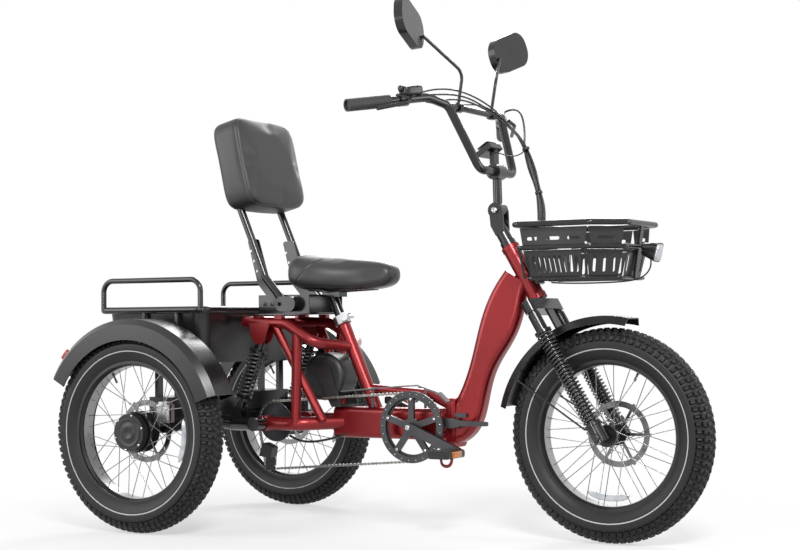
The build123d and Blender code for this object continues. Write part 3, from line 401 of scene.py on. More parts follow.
dusty = math_node(tone_group, "MULTIPLY", level, specks)
dusty = math_node(tone_group, "MULTIPLY", dusty, start["Dust"])
tone_group.links.new(mix_colors(tone_group, dusty, toned, dust_colour), end["Color"])
tone_group.links.new(sharp, end["Mask"])
print("group", tone_group.name)

# %% [markdown]
# Reach is the distance of a point from a wheel's axle, seen along it: the square root of
# run squared plus rise squared. It draws the pale reflecting rings on the tyres and the painted highlights on
# the rims.
# %% Reach
reach_group, start, end, where = new_group(
    "wheel_reach", [("Axle X", FLOAT, half_wheelbase)], [("Reach", FLOAT)]
)
split = reach_group.nodes.new("ShaderNodeSeparateXYZ")
reach_group.links.new(where, split.inputs[0])
run = math_node(reach_group, "SUBTRACT", split.outputs["X"], start["Axle X"])
rise = math_node(reach_group, "SUBTRACT", split.outputs["Z"], wheel_radius)
run_square = math_node(reach_group, "MULTIPLY", run, run)
rise_square = math_node(reach_group, "MULTIPLY", rise, rise)
square = math_node(reach_group, "ADD", run_square, rise_square)
reach_group.links.new(math_node(reach_group, "SQRT", square), end["Reach"])
print("group", reach_group.name)

# %% [markdown]
# ## Finishes
# One function makes every finish from a row of values: its colour and second tone, how
# rough and how metallic it is, its clear coat, the size and depth of its grain, its dust.
# Numbers that are the same all over a surface are set on the shader itself.
# %% How a finish is made
coat_roughness, grain_height = 0.18, 0.0008


def new_finish(name, base, second, rough, metallic=0.0, coat=0.0, scale=900, depth=0.05, dust=0.1,
               patch=9, sheen=0.0, rough_spread=0.08, mirror_share=0.5):
    """A material from a row of values. Base and second are linear colours."""
    material = bpy.data.materials.new(name)
    material.use_nodes = True
    tree = material.node_tree
    shader = tree.nodes["Principled BSDF"]
    even_values = {
        "Metallic": metallic, "Coat Weight": coat, "Coat Roughness": coat_roughness,
        "Specular IOR Level": mirror_share, "Sheen Weight": sheen,
    }
    for label, value in even_values.items():
        shader.inputs[label].default_value = value
    tone = tree.nodes.new("ShaderNodeGroup")
    tone.node_tree = tone_group
    tone.name = "tone"
    tones = {"Base": (*base, 1), "Second": (*second, 1), "Patch Scale": patch, "Dust": dust}
    for label, value in tones.items():
        tone.inputs[label].default_value = value
    tree.links.new(tone.outputs["Color"], shader.inputs["Base Color"])
    roughness = map_range(tree, tone.outputs["Mask"], out_low=rough - rough_spread / 2,
                          out_high=rough + rough_spread / 2)
    tree.links.new(roughness, shader.inputs["Roughness"])
    grain = tree.nodes.new("ShaderNodeGroup")
    grain.node_tree = grain_group
    grain.inputs["Scale"].default_value = scale
    bump = tree.nodes.new("ShaderNodeBump")
    bump.inputs["Strength"].default_value = depth
    bump.inputs["Distance"].default_value = grain_height
    tree.links.new(grain.outputs["Height"], bump.inputs["Height"])
    tree.links.new(bump.outputs["Normal"], shader.inputs["Normal"])
    return material


def ring_on(material, axle_x, inner, outer, paint, strength):
    """Paints a ring, from its inner to its outer reach, over a material's own colour."""
    tree = material.node_tree
    reach = tree.nodes.new("ShaderNodeGroup")
    reach.node_tree = reach_group
    reach.inputs["Axle X"].default_value = axle_x
    above = math_node(tree, "GREATER_THAN", reach.outputs["Reach"], inner)
    below = math_node(tree, "LESS_THAN", reach.outputs["Reach"], outer)
    band = math_node(tree, "MULTIPLY", math_node(tree, "MULTIPLY", above, below), strength)
    color = mix_colors(tree, band, tree.nodes["tone"].outputs["Color"], (*paint, 1))
    tree.links.new(color, tree.nodes["Principled BSDF"].inputs["Base Color"])
    return material


print("finish maker ready")

# %% [markdown]
# The frame is a deep red paint under a clear coat, and nearly all else is black, so the
# blacks differ by their gloss and grain: satin paint, moulded plastic, vinyl and rubber.
# Bare metal has a few brightnesses, and lenses and glass are smooth under a strong coat.
# %% Finishes
red_paint = new_finish("red_paint", (0.27, 0.008, 0.011), (0.20, 0.005, 0.008), rough=0.36, metallic=0.62,
                       coat=0.35, scale=2400, depth=0.035, dust=0.03, patch=5)
black_paint = new_finish("black_paint", (0.006, 0.006, 0.0065), (0.010, 0.010, 0.011), rough=0.20,
                         scale=1500, depth=0.02, dust=0.02, mirror_share=0.55)
vinyl = new_finish("vinyl", (0.021, 0.021, 0.023), (0.028, 0.028, 0.030), rough=0.42,
                   scale=520, depth=0.22, dust=0.05, patch=4, sheen=0.05)
moulded_plastic = new_finish("moulded_plastic", (0.008, 0.008, 0.0085), (0.012, 0.012, 0.013), rough=0.26,
                             scale=1100, depth=0.06, dust=0.05)
guard_plastic = new_finish("guard_plastic", (0.16, 0.16, 0.165), (0.11, 0.11, 0.115), rough=0.4,
                           scale=1100, depth=0.1, dust=0.08)
bright_steel = new_finish("bright_steel", (0.62, 0.62, 0.63), (0.48, 0.48, 0.5), rough=0.24, metallic=1.0,
                          scale=700, depth=0.03, dust=0.0)
dark_steel = new_finish("dark_steel", (0.085, 0.085, 0.09), (0.055, 0.055, 0.06), rough=0.38, metallic=0.85,
                        scale=900, depth=0.05, dust=0.02)
chain_steel = new_finish("chain_steel", (0.33, 0.32, 0.31), (0.2, 0.19, 0.18), rough=0.34, metallic=1.0,
                         scale=700, depth=0.06, dust=0.0, patch=30)
cast_alloy = new_finish("cast_alloy", (0.55, 0.55, 0.56), (0.42, 0.42, 0.43), rough=0.3, metallic=1.0,
                        scale=900, depth=0.08, dust=0.0)
motor_black = new_finish("motor_black", (0.02, 0.02, 0.021), (0.032, 0.032, 0.034), rough=0.4, metallic=0.3,
                         scale=1200, depth=0.08, dust=0.05)
grip_rubber = new_finish("grip_rubber", (0.022, 0.022, 0.024), (0.03, 0.03, 0.032), rough=0.58,
                         scale=900, depth=0.2, dust=0.05)
cable_black = new_finish("cable_black", (0.014, 0.014, 0.015), (0.02, 0.02, 0.021), rough=0.35,
                         scale=900, depth=0.04, dust=0.0)
spring_black = new_finish("spring_black", (0.02, 0.02, 0.021), (0.03, 0.03, 0.03), rough=0.28, metallic=0.2,
                          coat=0.4, scale=900, depth=0.04, dust=0.0)
amber = new_finish("amber", (0.75, 0.22, 0.01), (0.6, 0.15, 0.01), rough=0.16, coat=0.6,
                   scale=500, depth=0.2, dust=0.0)
strap_red = new_finish("strap_red", (0.26, 0.010, 0.012), (0.19, 0.006, 0.008), rough=0.55,
                       scale=1600, depth=0.25, dust=0.0)
basket_plastic = new_finish("basket_plastic", (0.016, 0.016, 0.017), (0.024, 0.024, 0.025), rough=0.33,
                            scale=1300, depth=0.1, dust=0.04)
stem_black = new_finish("stem_black", (0.045, 0.045, 0.048), (0.03, 0.03, 0.032), rough=0.22, metallic=0.75,
                        coat=0.3, scale=900, depth=0.02, dust=0.0)
red_lens = new_finish("red_lens", (0.42, 0.004, 0.006), (0.3, 0.003, 0.004), rough=0.14, coat=0.7,
                      scale=500, depth=0.15, dust=0.0)
clear_reflector = new_finish("clear_reflector", (0.62, 0.64, 0.66), (0.45, 0.47, 0.5), rough=0.12,
                             metallic=0.25, coat=0.6, scale=600, depth=0.25, dust=0.0, patch=60)
screen_glass = new_finish("screen_glass", (0.006, 0.006, 0.008), (0.01, 0.01, 0.012), rough=0.06, coat=0.8,
                          scale=300, depth=0.0, dust=0.0)
mirror_glass = new_finish("mirror_glass", (0.8, 0.81, 0.82), (0.78, 0.79, 0.8), rough=0.03, metallic=1.0,
                          scale=300, depth=0.0, dust=0.0, rough_spread=0.01)
print("finishes", len(bpy.data.materials))

# %% [markdown]
# Each wheel's rubber and rim carry a pale ring round its own axle, so the front and the
# rear have finishes of their own. A tyre's ring is a reflecting line on its wall, and a
# rim's is a painted highlight, a pale line along the rim's edge.
# %% Wheel finishes
body_of_wheel = {"front": "front_wheel", "rear_right": "rear_wheel_right", "rear_left": "rear_wheel_left"}
end_of_wheel = {"front": "front", "rear_right": "rear", "rear_left": "rear"}
wall_line = {"inner": 0.2316, "outer": 0.2345, "paint": (0.62, 0.62, 0.62), "strength": 0.85}
# The rim's ring is a painted highlight: a pale line painted round the rim where light would catch its edge.
rim_highlight_line = {"inner": 0.1880, "outer": 0.1902, "paint": (0.42, 0.42, 0.42), "strength": 0.9}
tyres_of, rims_of, spokes_of = {}, {}, {}
for end_name, axle_x in (("front", half_wheelbase), ("rear", -half_wheelbase)):
    rubber = new_finish(f"{end_name}_rubber", (0.010, 0.010, 0.0105), (0.016, 0.016, 0.0165), rough=0.5,
                        scale=800, depth=0.12, dust=0.05, patch=7, mirror_share=0.32)
    tyres_of[end_name] = ring_on(rubber, axle_x, **wall_line)
    rim_paint = new_finish(f"{end_name}_rim_black", (0.016, 0.016, 0.017), (0.024, 0.024, 0.026), rough=0.3,
                           metallic=0.4, coat=0.2, scale=1100, depth=0.03, dust=0.03)
    rims_of[end_name] = ring_on(rim_paint, axle_x, **rim_highlight_line)
    spokes_of[end_name] = new_finish(f"{end_name}_spoke_steel", (0.26, 0.26, 0.265), (0.17, 0.17, 0.175),
                                     rough=0.24, metallic=1.0, scale=900, depth=0.04, dust=0.0)
print("wheel finishes", sorted(tyres_of))

# %% [markdown]
# Every node of the CAD model gets one finish, as the real part has. The nodes that finer
# pieces stand in for later have one too, because their solids stay in the model.
# %% Finish of each node
finish_of_node = {
    "rear_frame": red_paint, "front_frame": red_paint, "swing_arm": black_paint,
    "rear_shocks": black_paint, "rear_springs": spring_black, "motor": motor_black,
    "cassette": dark_steel, "seat_clamp": cast_alloy, "seat_post": stem_black,
    "backrest_frame": black_paint, "cargo_rack": black_paint, "cargo_bin": moulded_plastic,
    "rear_fenders": moulded_plastic, "fold_latch": dark_steel, "basket_frame": black_paint,
    "basket_panels": basket_plastic, "fork": black_paint, "fork_springs": spring_black,
    "front_fender": moulded_plastic, "stem_lower": stem_black, "stem_upper": stem_black,
    "handlebar": black_paint, "crank_set": dark_steel, "chains": chain_steel,
    "derailleur": moulded_plastic, "chain_guard": guard_plastic, "tail_lamps": red_lens,
    "rear_calipers": cast_alloy, "controls": moulded_plastic, "display": moulded_plastic,
    "head_lamp": moulded_plastic, "grips": grip_rubber, "saddle": vinyl, "backrest_pad": vinyl,
    "mirrors": moulded_plastic, "pedal_right": moulded_plastic, "pedal_left": moulded_plastic,
}
for wheel, end_name in end_of_wheel.items():
    finish_of_node[f"{wheel}_tyre"] = tyres_of[end_name]
    finish_of_node[f"{wheel}_rim"] = rims_of[end_name]
    finish_of_node[f"{wheel}_spokes"] = spokes_of[end_name]
for node, material in finish_of_node.items():
    mesh = nodes[node].data
    mesh.materials.clear()
    mesh.materials.append(material)
print("finished nodes", len(finish_of_node), "of", len(nodes))

# %% [markdown]
# ## The floor
# The tricycle stands in a white studio, where only its shadow shows the floor.
# The floor is a wide disc whose pale paint fades into plain white away from the wheels.
# Its whiteness is a light that only the camera and glossy or clear surfaces see.
# %% Floor
floor_drop, floor_sides = 0.0005, 96
white_from, white_to, least_white = 0.7, 1.9, 0.55
floor_turn = np.linspace(0, 2 * np.pi, floor_sides, endpoint=False)
floor_reach = np.array([0.0, 0.5, 1.0, 1.6, 2.4, 4.0, 9.0])[:, None]
floor_points = np.stack([floor_reach * np.cos(floor_turn), floor_reach * np.sin(floor_turn),
                         np.full((len(floor_reach), floor_sides), -floor_drop)], axis=-1)
floor = grid_object("studio_floor", floor_points)
if floor.data.polygons[0].normal.z < 0:
    floor.data.flip_normals()
floor_paint = bpy.data.materials.new("floor_paint")
floor_paint.use_nodes = True
tree = floor_paint.node_tree
tree.nodes.remove(tree.nodes["Principled BSDF"])
pale = tree.nodes.new("ShaderNodeBsdfDiffuse")
pale.inputs["Color"].default_value = (0.86, 0.86, 0.86, 1)
white = tree.nodes.new("ShaderNodeEmission")
tree.links.new(camera_white(tree, 0.0), white.inputs["Strength"])
spot = tree.nodes.new("ShaderNodeTexCoord")
length = tree.nodes.new("ShaderNodeVectorMath")
length.operation = "LENGTH"
tree.links.new(spot.outputs["Object"], length.inputs[0])
fade = map_range(tree, length.outputs["Value"], low=white_from, high=white_to,
                 out_low=least_white, smooth=True)
blend = tree.nodes.new("ShaderNodeMixShader")
for index, shade in enumerate((fade, pale.outputs[0], white.outputs[0])):
    tree.links.new(shade, blend.inputs[index])
tree.links.new(blend.outputs[0], tree.nodes["Material Output"].inputs["Surface"])
floor.data.materials.append(floor_paint)
print("floor to", floor_reach.max(), "m")

# %% [markdown]
# ## Fat tyres with a knobbly tread
# A tyre is one closed surface round its axle: an oval section from bead to bead, turned.
# The tread is a height over two numbers, the turn round the wheel and the place across it.
# Seven rows of blocks stand above the grooves, one in the middle and three on each side,
# and each row is shifted by half a block from the next.
# The outer face of a block lies exactly on the CAD tyre, so nothing grows past it.
# %% Tyres
half_width, bead_radius, bead_half, widest_radius = 0.0475, 0.204, 0.034, 0.245
blocks_round, groove_depth, sipe_depth, rib_depth = 84, 0.0058, 0.0012, 0.0004
shoulder_turn, row_edge, gap_edge, least_lean = 1.22, 0.05, 0.16, 0.25
tread_end, tread_soft, rib_start, rib_rate = 1.10, 0.08, 1.25, 46
# Each row's inner and outer edge (1 is the shoulder), a block's share, its shift and slant
tread_rows = (
    (0.00, 0.15, 0.60, 0.0, 0.9), (0.22, 0.43, 0.62, 0.5, 0.6),
    (0.50, 0.72, 0.62, 0.0, -0.5), (0.79, 1.05, 0.56, 0.5, 0.0),
)


def step_up(value, edge, soft):
    """0 below the edge, 1 above it, and a smooth rise of this softness between."""
    t = np.clip((value - edge) / soft + 0.5, 0, 1)
    return t * t * (3 - 2 * t)


def row_of_blocks(across, turn, low, high, share, shift, slant):
    """Blocks in one row of tread: 1 inside them. Slant shears the row as it goes across."""
    inside = step_up(across, low, row_edge) * (1 - step_up(across, high, row_edge))
    phase = (turn * blocks_round / (2 * np.pi) + shift + slant * across) % 1.0
    gap = np.abs(phase - 0.5) * 2
    return inside * (1 - step_up(gap, share, gap_edge))


def tyre(name, centre, around=864, over=92):
    """An oval section (width sin p, radius cos p) turned about Y, less the depth of its grooves."""
    bead_turn = np.pi - math.asin(bead_half / half_width)
    lean = np.linspace(-bead_turn, bead_turn, over)[None, :]
    turn = (np.arange(around) * 2 * np.pi / around)[:, None]
    upper = wheel_radius - widest_radius
    lower = (widest_radius - bead_radius) / abs(math.cos(bead_turn))
    rise = np.where(np.cos(lean) > 0, upper, lower) * np.cos(lean)
    side = half_width * np.sin(lean) * np.ones_like(turn)
    across = np.abs(lean / shoulder_turn)
    tread = np.zeros((around, over))
    for low, high, share, shift, slant in tread_rows:
        inner_edge = low if low else -1
        tread = np.maximum(tread, row_of_blocks(across, turn, inner_edge, high, share, shift, slant))
    zone = 1 - step_up(across, tread_end, tread_soft)
    sipe = sipe_depth * step_up(np.cos(turn * blocks_round * 2), 0.86, 0.2) * tread
    wave = np.cos(np.abs(lean) * rib_rate)
    ribs = rib_depth * step_up(wave, 0.6, 0.5) * step_up(across, rib_start, row_edge)
    groove = groove_depth * zone * (1 - tread) + sipe + ribs
    reach = widest_radius + rise - groove * np.maximum(np.cos(lean), least_lean)
    side = side - np.sign(side) * groove * np.abs(np.sin(lean))
    points = np.stack(
        [centre[0] + reach * np.cos(turn), centre[1] + side, centre[2] + reach * np.sin(turn)], axis=-1)
    piece = grid_object(name, points, wrap_rows=True)
    piece.data.set_sharp_from_angle(angle=math.radians(38))
    return piece


wheel_centres = {
    "front": place(2 * half_wheelbase, 0, wheel_radius),
    "rear_right": place(0, -half_track, wheel_radius), "rear_left": place(0, half_track, wheel_radius),
}
for wheel, centre in wheel_centres.items():
    rubber = tyre(f"{wheel}_knobbly_tyre", centre)
    seat_piece(rubber, body_of_wheel[wheel], tyres_of[end_of_wheel[wheel]], [f"{wheel}_tyre"])
    print(rubber.name, len(rubber.data.polygons) * 2, "triangles")

# %% [markdown]
# ## Saddle and back pad
# Both are foam under smooth vinyl. A starting form is worked out on a grid, remeshed evenly,
# and then swollen a little by a cloth simulation, so the cover pulls in at its edges as a
# stuffed thing does. A few rounds of smoothing and one subdivision take its wrinkles out.
# %% Swelling
cloth_values = {
    "quality": 5, "mass": 0.3, "tension_stiffness": 60, "compression_stiffness": 60,
    "shear_stiffness": 30, "bending_stiffness": 40, "use_pressure": True,
}
swell_frames, least_step = 20, 1e-9


def baked(piece):
    """A copy of a piece's mesh as its modifiers leave it."""
    depsgraph = bpy.context.evaluated_depsgraph_get()
    return bpy.data.meshes.new_from_object(piece.evaluated_get(depsgraph))


def puffed(piece, voxel, pressure, cap):
    """Remeshes a closed form at this voxel size, swells it under pressure and limits each move to cap."""
    remesh = piece.modifiers.new("even_mesh", "REMESH")
    remesh.mode = "VOXEL"
    remesh.voxel_size = voxel
    even = baked(piece)
    piece.modifiers.clear()
    piece.data = even
    start = np.empty(len(even.vertices) * 3, np.float32)
    even.vertices.foreach_get("co", start)
    settings = piece.modifiers.new("swell", "CLOTH").settings
    for label, value in cloth_values.items():
        setattr(settings, label, value)
    settings.uniform_pressure_force = pressure
    settings.effector_weights.gravity = 0
    for frame_number in range(1, swell_frames + 1):
        bpy.context.scene.frame_set(frame_number)
    swollen = baked(piece)
    moved = np.empty_like(start)
    swollen.vertices.foreach_get("co", moved)
    piece.modifiers.clear()
    bpy.context.scene.frame_set(1)
    step = (moved - start).reshape(-1, 3)
    size = np.linalg.norm(step, axis=1, keepdims=True)
    step *= np.minimum(1, cap / np.maximum(size, least_step))
    piece.data.vertices.foreach_set("co", (start.reshape(-1, 3) + step).ravel())
    print(piece.name, "swelled by", round(float(np.linalg.norm(step, axis=1).max()) * 1000, 1), "mm")
    even_out = piece.modifiers.new("even_out", "SMOOTH")
    even_out.factor = 0.5
    even_out.iterations = 10
    smooth = piece.modifiers.new("finer", "SUBSURF")
    smooth.levels = 1
    smooth.render_levels = 1
    finer = baked(piece)
    piece.modifiers.clear()
    piece.data = finer
    finer.shade_smooth()


print("a form swells for", swell_frames, "frames")

# %% [markdown]
# A seam or a welt pulls the cover in along a line. Given how far each point lies from that
# line, the surface moves in along its normals by a bell curve of the distance.
# %% Pressed lines
def pressed_line(piece, distance, depth, width):
    """Moves the surface in along its normals by a bell curve of a distance, one value a point."""
    mesh = piece.data
    points = np.empty(len(mesh.vertices) * 3, np.float32)
    normals = np.empty(len(mesh.vertices) * 3, np.float32)
    mesh.vertices.foreach_get("co", points)
    mesh.vertex_normals.foreach_get("vector", normals)
    points, normals = points.reshape(-1, 3), normals.reshape(-1, 3)
    bell = np.exp(-((distance(points) / width) ** 2))[:, None]
    mesh.vertices.foreach_set("co", (points - normals * bell * depth).ravel())
    mesh.update()


print("pressed lines ready")

# %% [markdown]
# The back pad leans back by 13 degrees. It starts as a rounded block with a high power, so
# its faces are nearly flat and its corners tight, and a welt runs round its front edge.
# %% Back pad
pad_tilt = math.radians(13)
pad_ahead = np.array([math.cos(pad_tilt), 0, math.sin(pad_tilt)])
pad_up = np.array([-math.sin(pad_tilt), 0, math.cos(pad_tilt)])
pad_centre = place(0.142, 0, 1.075) + pad_ahead * 0.006
pad_half, pad_power = (0.137, 0.152, 0.056), 7
welt_forward, welt_depth, welt_width = 0.040, 0.0022, 0.0022


def welt_distance(points):
    """How far each point lies from the plane of the welt."""
    return (points - pad_centre) @ pad_ahead - welt_forward


pad = block("back_pad_cover", pad_centre, (pad_up, (0, 1, 0), pad_ahead), pad_half, pad_power, 60, 120)
puffed(pad, voxel=0.005, pressure=4.0, cap=0.004)
pressed_line(pad, welt_distance, welt_depth, welt_width)
seat_piece(pad, "rear_frame", vinyl, ["backrest_pad"])
print("back pad", len(pad.data.polygons), "faces")

# %% [markdown]
# The saddle is broad at the back and narrow in front. Its form is a row of ovals: four
# smooth lines give each oval's place, half width, top and underside. A slanted seam is
# pressed in on each side, and a hard base of the same form closes it from below.
# %% Saddle
# Distance ahead of the rear axle, half width, top and underside
saddle_stations = (
    (0.312, 0.010, 0.762, 0.745), (0.314, 0.085, 0.790, 0.718), (0.324, 0.118, 0.800, 0.704),
    (0.355, 0.132, 0.801, 0.697), (0.400, 0.130, 0.795, 0.696), (0.445, 0.112, 0.786, 0.696),
    (0.490, 0.084, 0.781, 0.696), (0.535, 0.062, 0.779, 0.697), (0.580, 0.050, 0.777, 0.700),
    (0.612, 0.044, 0.770, 0.708), (0.628, 0.032, 0.756, 0.722), (0.631, 0.004, 0.744, 0.738),
)
saddle_rows, saddle_sides = 90, 72
widest_share, rise_power, width_power = 0.36, 0.72, 0.66
seam_ahead, seam_height, seam_slope, seam_end = 0.392, 0.75, 0.9, 0.075
seam_stretch, far_away = 1.35, 9.0


def saddle_form(name, width_share, top_share, low):
    """Ovals across X, whose half width, top and underside follow smooth lines along the saddle."""
    line = smooth_path(saddle_stations, saddle_rows)
    turn = (np.arange(saddle_sides) * 2 * np.pi / saddle_sides)[None, :]
    ahead, width, top, under = (line[:, k, None] for k in range(4))
    middle_z = under + (top - under) * widest_share
    over_z = (top - middle_z) * top_share
    under_z = middle_z - under + low
    rise = np.sign(np.sin(turn)) * np.abs(np.sin(turn)) ** rise_power
    z = middle_z + np.where(rise > 0, over_z, under_z) * rise
    y = width * width_share * np.sign(np.cos(turn)) * np.abs(np.cos(turn)) ** width_power
    x = ahead * np.ones_like(turn)
    points = np.stack([x - half_wheelbase, y, z], axis=-1)
    ends = points.mean(axis=1, keepdims=True) * np.ones((1, saddle_sides, 1))
    return grid_object(name, np.concatenate([ends[:1], points, ends[-1:]]))


def seam_distance(points):
    """How far each point lies from the slanted seam, which stops short of the saddle's middle."""
    ahead = points[:, 0] + half_wheelbase - seam_ahead
    off_line = (ahead - seam_slope * (points[:, 2] - seam_height)) / seam_stretch
    return off_line + far_away * (np.abs(points[:, 1]) < seam_end)


saddle = saddle_form("saddle_cover", width_share=1.0, top_share=1.0, low=0.0)
puffed(saddle, voxel=0.004, pressure=4.0, cap=0.005)
pressed_line(saddle, seam_distance, depth=0.0020, width=0.0022)
seat_piece(saddle, "seat", vinyl, ["saddle"])
saddle_base = saddle_form("saddle_base", width_share=0.88, top_share=0.1, low=0.004)
seat_piece(saddle_base, "seat", moulded_plastic)
print("saddle", len(saddle.data.polygons), "faces")

# %% [markdown]
# ## Control cables
# Brake hoses, the shifter's cable and the throttle's wire leave the bars in loose arcs,
# are tied into a bundle twice, and pass behind the basket into the frame. The display's
# wire joins them at the upper tie, and the motor and the lamp have short runs of their own.
# Each is a round profile carried along a smooth line through a few given points.
# The bundle crosses two joints, so it is made in two lengths that meet at the lower tie.
# %% Cables
steps_per_point, cable_sides = 24, 12
# A direction that no cable runs along, so that its profile never twists
cable_side = (0.13, 0.99, 0.05)


def cable(name, points, radius, body, blend_to=None):
    """A round profile along a smooth line on a body. Given blend_to, (body, start, end) where it crosses a
    joint, it stays where it is on no body, and these three values are not used.
    """
    line = smooth_path([place(*p) for p in points], steps_per_point * len(points))
    piece = carried(name, line, round_profile(radius, cable_sides), side=cable_side)
    piece.data.materials.append(cable_black)
    if blend_to:
        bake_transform(piece)
    else:
        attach(piece, body)


print("cables have", cable_sides, "sides")

# %% [markdown]
# The bundle is one line that all its cables share, and each keeps its own place beside it.
# Between the ties they spread a little, as loose cables do. Their upper lengths cross the
# stem's tilt and their lower ones the steering, and neither is attached to a body.
# %% Bundle of cables
def beside(point, offset, spread=1.0):
    """A point of the bundle, moved ahead and sideways to one cable's own place in it."""
    return (point[0] + offset[0] * spread, point[1] + offset[1] * spread, point[2])


upper_tie, lower_tie = (1.035, 0.03, 1.08), (1.078, 0.02, 0.955)
tilt_blend = ("steering", place(*upper_tie), place(1.06, 0.025, 1.0))
turn_blend = ("front_frame", place(1.085, 0.02, 0.93), place(1.075, 0.01, 0.79))
runs = {
    "front_brake_hose": ((0.846, -0.262, 1.214), (0.866, -0.20, 1.236), (0.890, -0.09, 1.246),
                         (0.925, 0.03, 1.212), (0.968, 0.085, 1.150)),
    "rear_brake_hose": ((0.842, -0.280, 1.208), (0.878, -0.20, 1.220), (0.905, -0.08, 1.230),
                        (0.935, 0.02, 1.190), (0.985, 0.07, 1.140)),
    "shifter_cable": ((0.838, -0.292, 1.196), (0.872, -0.22, 1.196), (0.905, -0.10, 1.222),
                      (0.945, 0.01, 1.184), (1.000, 0.05, 1.124)),
    "left_brake_hose": ((0.858, 0.238, 1.214), (0.892, 0.236, 1.226), (0.934, 0.214, 1.212),
                        (0.978, 0.142, 1.150), (1.012, 0.070, 1.108)),
    "throttle_wire": ((0.862, -0.23, 1.196), (0.900, -0.14, 1.190), (0.925, -0.02, 1.214),
                      (0.962, 0.05, 1.168), (1.015, 0.052, 1.108)),
}
offsets = {"front_brake_hose": (0.000, -0.006), "rear_brake_hose": (0.006, 0.000),
           "shifter_cable": (0.000, 0.006), "left_brake_hose": (-0.006, 0.000),
           "throttle_wire": (0.0, 0.0)}
radii = {"front_brake_hose": 0.0025, "rear_brake_hose": 0.0025, "shifter_cable": 0.0025,
         "left_brake_hose": 0.0030, "throttle_wire": 0.0019}
# The bundle's points and how far its cables spread there, down to the lower tie and below it
upper_bundle = ((upper_tie, 1.0), ((1.056, 0.026, 1.02), 1.9), ((1.070, 0.02, 0.985), 1.0), (lower_tie, 1.0))
lower_bundle = (
    (lower_tie, 1.0), ((1.087, 0.018, 0.915), 1.7), ((1.090, 0.012, 0.87), 1.6),
    ((1.086, 0.01, 0.82), 1.2), ((1.070, 0.01, 0.775), 1.0), ((1.052, 0.008, 0.752), 1.0),
    ((1.036, 0.006, 0.742), 1.0),
)
for name, start_run in runs.items():
    upper = (*start_run, *(beside(point, offsets[name], spread) for point, spread in upper_bundle))
    cable(f"{name}_upper", upper, radii[name], "handlebar", tilt_blend)
    lower = [beside(point, offsets[name], spread) for point, spread in lower_bundle]
    cable(f"{name}_lower", lower, radii[name], "steering", turn_blend)
cable("display_wire", ((0.945, -0.004, 1.078), (0.975, 0.004, 1.066), (1.000, 0.016, 1.058),
                       (1.022, 0.028, 1.066), upper_tie), 0.0018, "handlebar")
print("bundled cables", len(runs))

# %% [markdown]
# Two ties hold the bundle together: short barrels with rounded ends. The motor's cable
# runs from the middle of the rear frame to the beam, and the lamp's runs under the basket.
# %% Ties and single cables
tie_radius, tie_half = 0.0105, 0.004


def tie(name, centre, axis, radius, half, body):
    """A short barrel round the bundle: radius and half its length, its ends rounded."""
    profile = [(-half, 0), (-half, radius * 0.9), (-half * 0.8, radius), (half * 0.8, radius),
               (half, radius * 0.9), (half, 0)]
    seat_piece(turned(name, place(*centre), axis, profile, 24), body, cable_black)


tie("upper_cable_tie", upper_tie, (0.35, 0.05, -1), tie_radius, tie_half, "handlebar")
tie("lower_cable_tie", lower_tie, (0.25, 0.02, -1), tie_radius, tie_half, "steering")
cable("motor_cable", ((0.27, -0.026, 0.262), (0.31, -0.03, 0.245), (0.37, -0.032, 0.246), (0.44, -0.03, 0.262),
                      (0.50, -0.028, 0.282), (0.53, -0.024, 0.300)), 0.0035, "rear_frame")
cable("lamp_wire", ((1.412, 0.004, 0.762), (1.414, 0.004, 0.742), (1.398, 0.004, 0.717), (1.362, 0.006, 0.7040),
                    (1.28, 0.008, 0.7005), (1.18, 0.008, 0.7005), (1.12, 0.006, 0.704)), 0.0021, "front_frame")

# %% [markdown]
# ## Lamp and screen
# The head lamp is a domed clear lens over a bright reflector cup, and the display is dark
# glass on a sloping face. All three are rounded blocks, flat along the way they face.
# %% Lamp and screen
lamp_ahead = np.array([0.97, 0, -0.24]) / math.hypot(0.97, 0.24)
lamp_up = np.array([0.24, 0, 0.97]) / math.hypot(0.97, 0.24)
lamp_axes = ((0, 1, 0), lamp_up, lamp_ahead)
lamp_face = place(1.380, 0, 0.792) + lamp_ahead * 0.058
cup = block("lamp_cup", lamp_face - lamp_ahead * 0.0005, lamp_axes, half=(0.0225, 0.0225, 0.0015))
seat_piece(cup, "front_frame", bright_steel)
lens = block("lamp_lens", lamp_face, lamp_axes, half=(0.0205, 0.0205, 0.0055), power=3.2)
seat_piece(lens, "front_frame", clear_reflector)
screen_normal = np.array([-0.55, 0, 0.83]) / math.hypot(0.55, 0.83)
screen_down = np.cross((0, -1, 0), screen_normal)
screen = block("display_screen", place(0.936, 0, 1.078) + screen_normal * 0.0162,
               ((0, 1, 0), screen_down, screen_normal), half=(0.031, 0.020, 0.0009), power=7)
seat_piece(screen, "handlebar", screen_glass)
print("lamp faces", lamp_ahead.round(2), "and the screen", screen_normal.round(2))

# %% [markdown]
# ## Mirrors
# Each mirror has silvered glass on the rider's side. The glass lies in the plane of its
# shell: one direction it faces, one across that is squared up to it, and one up.
# %% Mirrors
for side, word in ((-1, "right"), (1, "left")):
    facing = np.array([0.96, -side * 0.18, 0.1])
    facing /= np.linalg.norm(facing)
    wide = np.array([0.1, side, 0.35])
    wide -= facing * (wide @ facing)
    wide /= np.linalg.norm(wide)
    tall = np.cross(facing, wide)
    glass = block(f"{word}_mirror_glass", place(0.852, side * 0.298, 1.402) - facing * 0.0142,
                  (wide, tall, facing), half=(0.073, 0.041, 0.0010), power=3.6)
    seat_piece(glass, "handlebar", mirror_glass)
    print(glass.name, "faces", facing.round(2))

# %% [markdown]
# ## Valves and wheel reflectors
# A valve is a rubber-footed stem that points from the rim to the axle. A wheel reflector
# is a clear plastic strip clipped between the spokes, bent to a circle round the axle.
# %% Valves and wheel reflectors
valve_reach, reflector_reach, reflector_steps, reflector_sides = 0.197, 0.168, 40, 20
reflector_half_turn, reflector_half_width, reflector_half_depth = 0.37, 0.009, 0.0035
